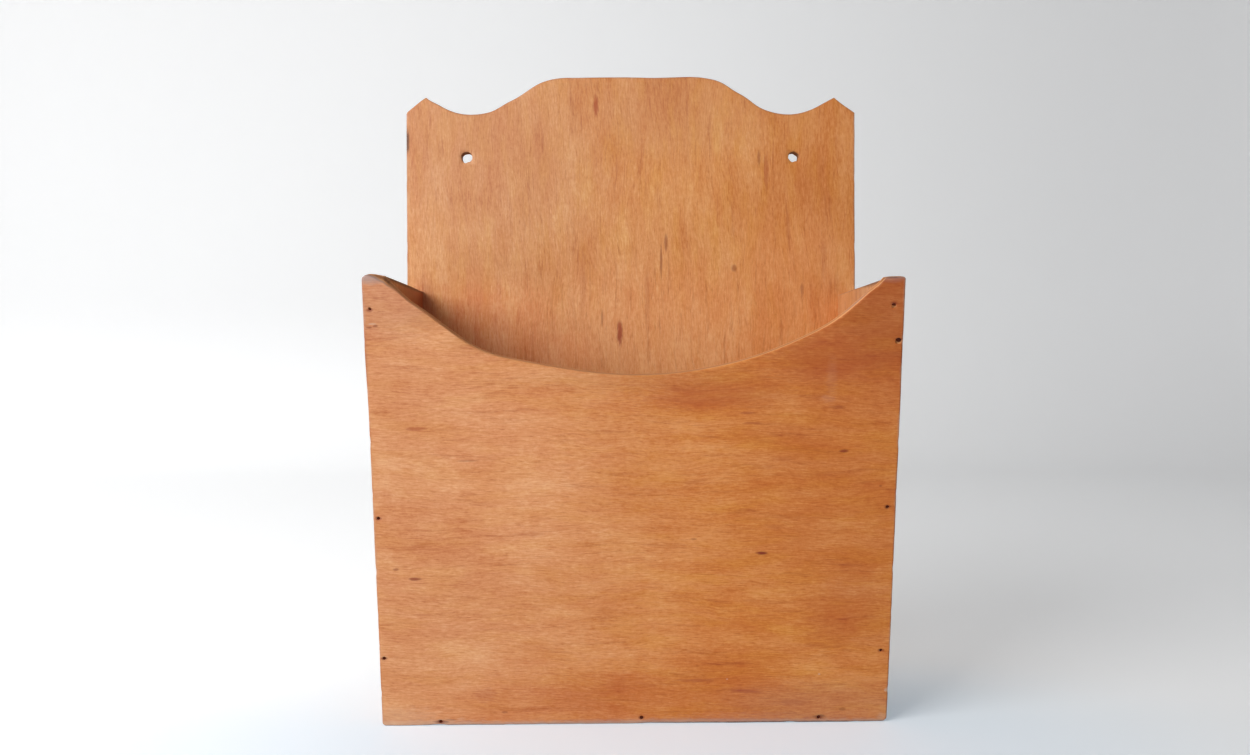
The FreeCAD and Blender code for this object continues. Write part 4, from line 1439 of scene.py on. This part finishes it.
class LETTERHOLDER_OT_pins(bpy.types.Operator):
    """Drive the panel pins that hold the boards together"""

    bl_idname = "letter_holder.pins"
    bl_label = "Pins"

    def execute(self, context):
        steel = pin_steel(context.scene.holder_finish)
        rows = {}
        for name, places in front_pin_places().items():
            places = [lean_front(spread_front(x, along), 0.0, along) for x, along in places]
            rows["front_pins_" + name] = (places, front_direction(), FRONT_PIN_SCALES[name])
        for name, places in back_pin_places().items():
            places = [(x, WALL_Y, z) for x, z in places]
            rows["back_pins_" + name] = (places, (0, -1, 0), np.ones(len(places)))
        for name, sign in SIDES.items():
            places = [(sign * HALF_WIDTH, y, z) for y, z in base_pin_places()]
            rows["base_pins_" + name] = (places, (-sign, 0, 0), np.ones(len(places)))
        for seed, (node, row) in enumerate(rows.items()):
            mesh = pin_mesh("driven_" + node, context.scene.holder_shape, *row, seed)
            add_piece(mesh, steel, "pin_steel", node)
        return {"FINISHED"}


class LETTERHOLDER_OT_stage(bpy.types.Operator):
    """Set up the floor and backdrop, the lamp, the pale light and the camera"""

    bl_idname = "letter_holder.stage"
    bl_label = "Stage"

    def execute(self, context):
        settings = context.scene.holder_stage
        mesh = stage_mesh(settings)
        mesh.materials.append(stage_paint(settings))
        floor = bpy.data.objects.new("stage", mesh)
        context.scene.collection.objects.link(floor)
        add_lamp("key_lamp", KEY_PLACE, KEY_AIM, settings.key_size, settings.key_power)
        light_world(settings)
        add_camera(settings)
        context.scene.view_settings.view_transform = "Standard"
        return {"FINISHED"}


OPERATORS = (
    LETTERHOLDER_OT_back_board,
    LETTERHOLDER_OT_front_board,
    LETTERHOLDER_OT_side_boards,
    LETTERHOLDER_OT_bottom_board,
    LETTERHOLDER_OT_pins,
    LETTERHOLDER_OT_stage,
)
SETTINGS = {"holder_shape": HolderShape, "holder_finish": HolderFinish, "holder_stage": HolderStage}


class LETTERHOLDER_PT_panel(bpy.types.Panel):
    """Settings and build steps of the letter holder"""

    bl_idname = "LETTERHOLDER_PT_panel"
    bl_label = "Letter Holder"
    bl_space_type = "VIEW_3D"
    bl_region_type = "UI"
    bl_category = "Letter Holder"

    def draw(self, context):
        for name, group in SETTINGS.items():
            box = self.layout.box()
            for setting in group.__annotations__:
                box.prop(getattr(context.scene, name), setting)
        for operator in OPERATORS:
            self.layout.operator(operator.bl_idname)


def register():
    """Adds the settings, the build steps and their panel."""
    for group in SETTINGS.values():
        bpy.utils.register_class(group)
    for name, group in SETTINGS.items():
        setattr(bpy.types.Scene, name, bpy.props.PointerProperty(type=group))
    for kind in (*OPERATORS, LETTERHOLDER_PT_panel):
        bpy.utils.register_class(kind)


def unregister():
    """Takes away what register added."""
    for kind in (LETTERHOLDER_PT_panel, *reversed(OPERATORS)):
        bpy.utils.unregister_class(kind)
    for name, group in SETTINGS.items():
        delattr(bpy.types.Scene, name)
        bpy.utils.unregister_class(group)


def main():
    """Builds the whole scene."""
    register()
    bpy.ops.letter_holder.back_board()
    bpy.ops.letter_holder.front_board()
    bpy.ops.letter_holder.side_boards()
    bpy.ops.letter_holder.bottom_board()
    bpy.ops.letter_holder.pins()
    bpy.ops.letter_holder.stage()


if __name__ == "__main__":
    main()
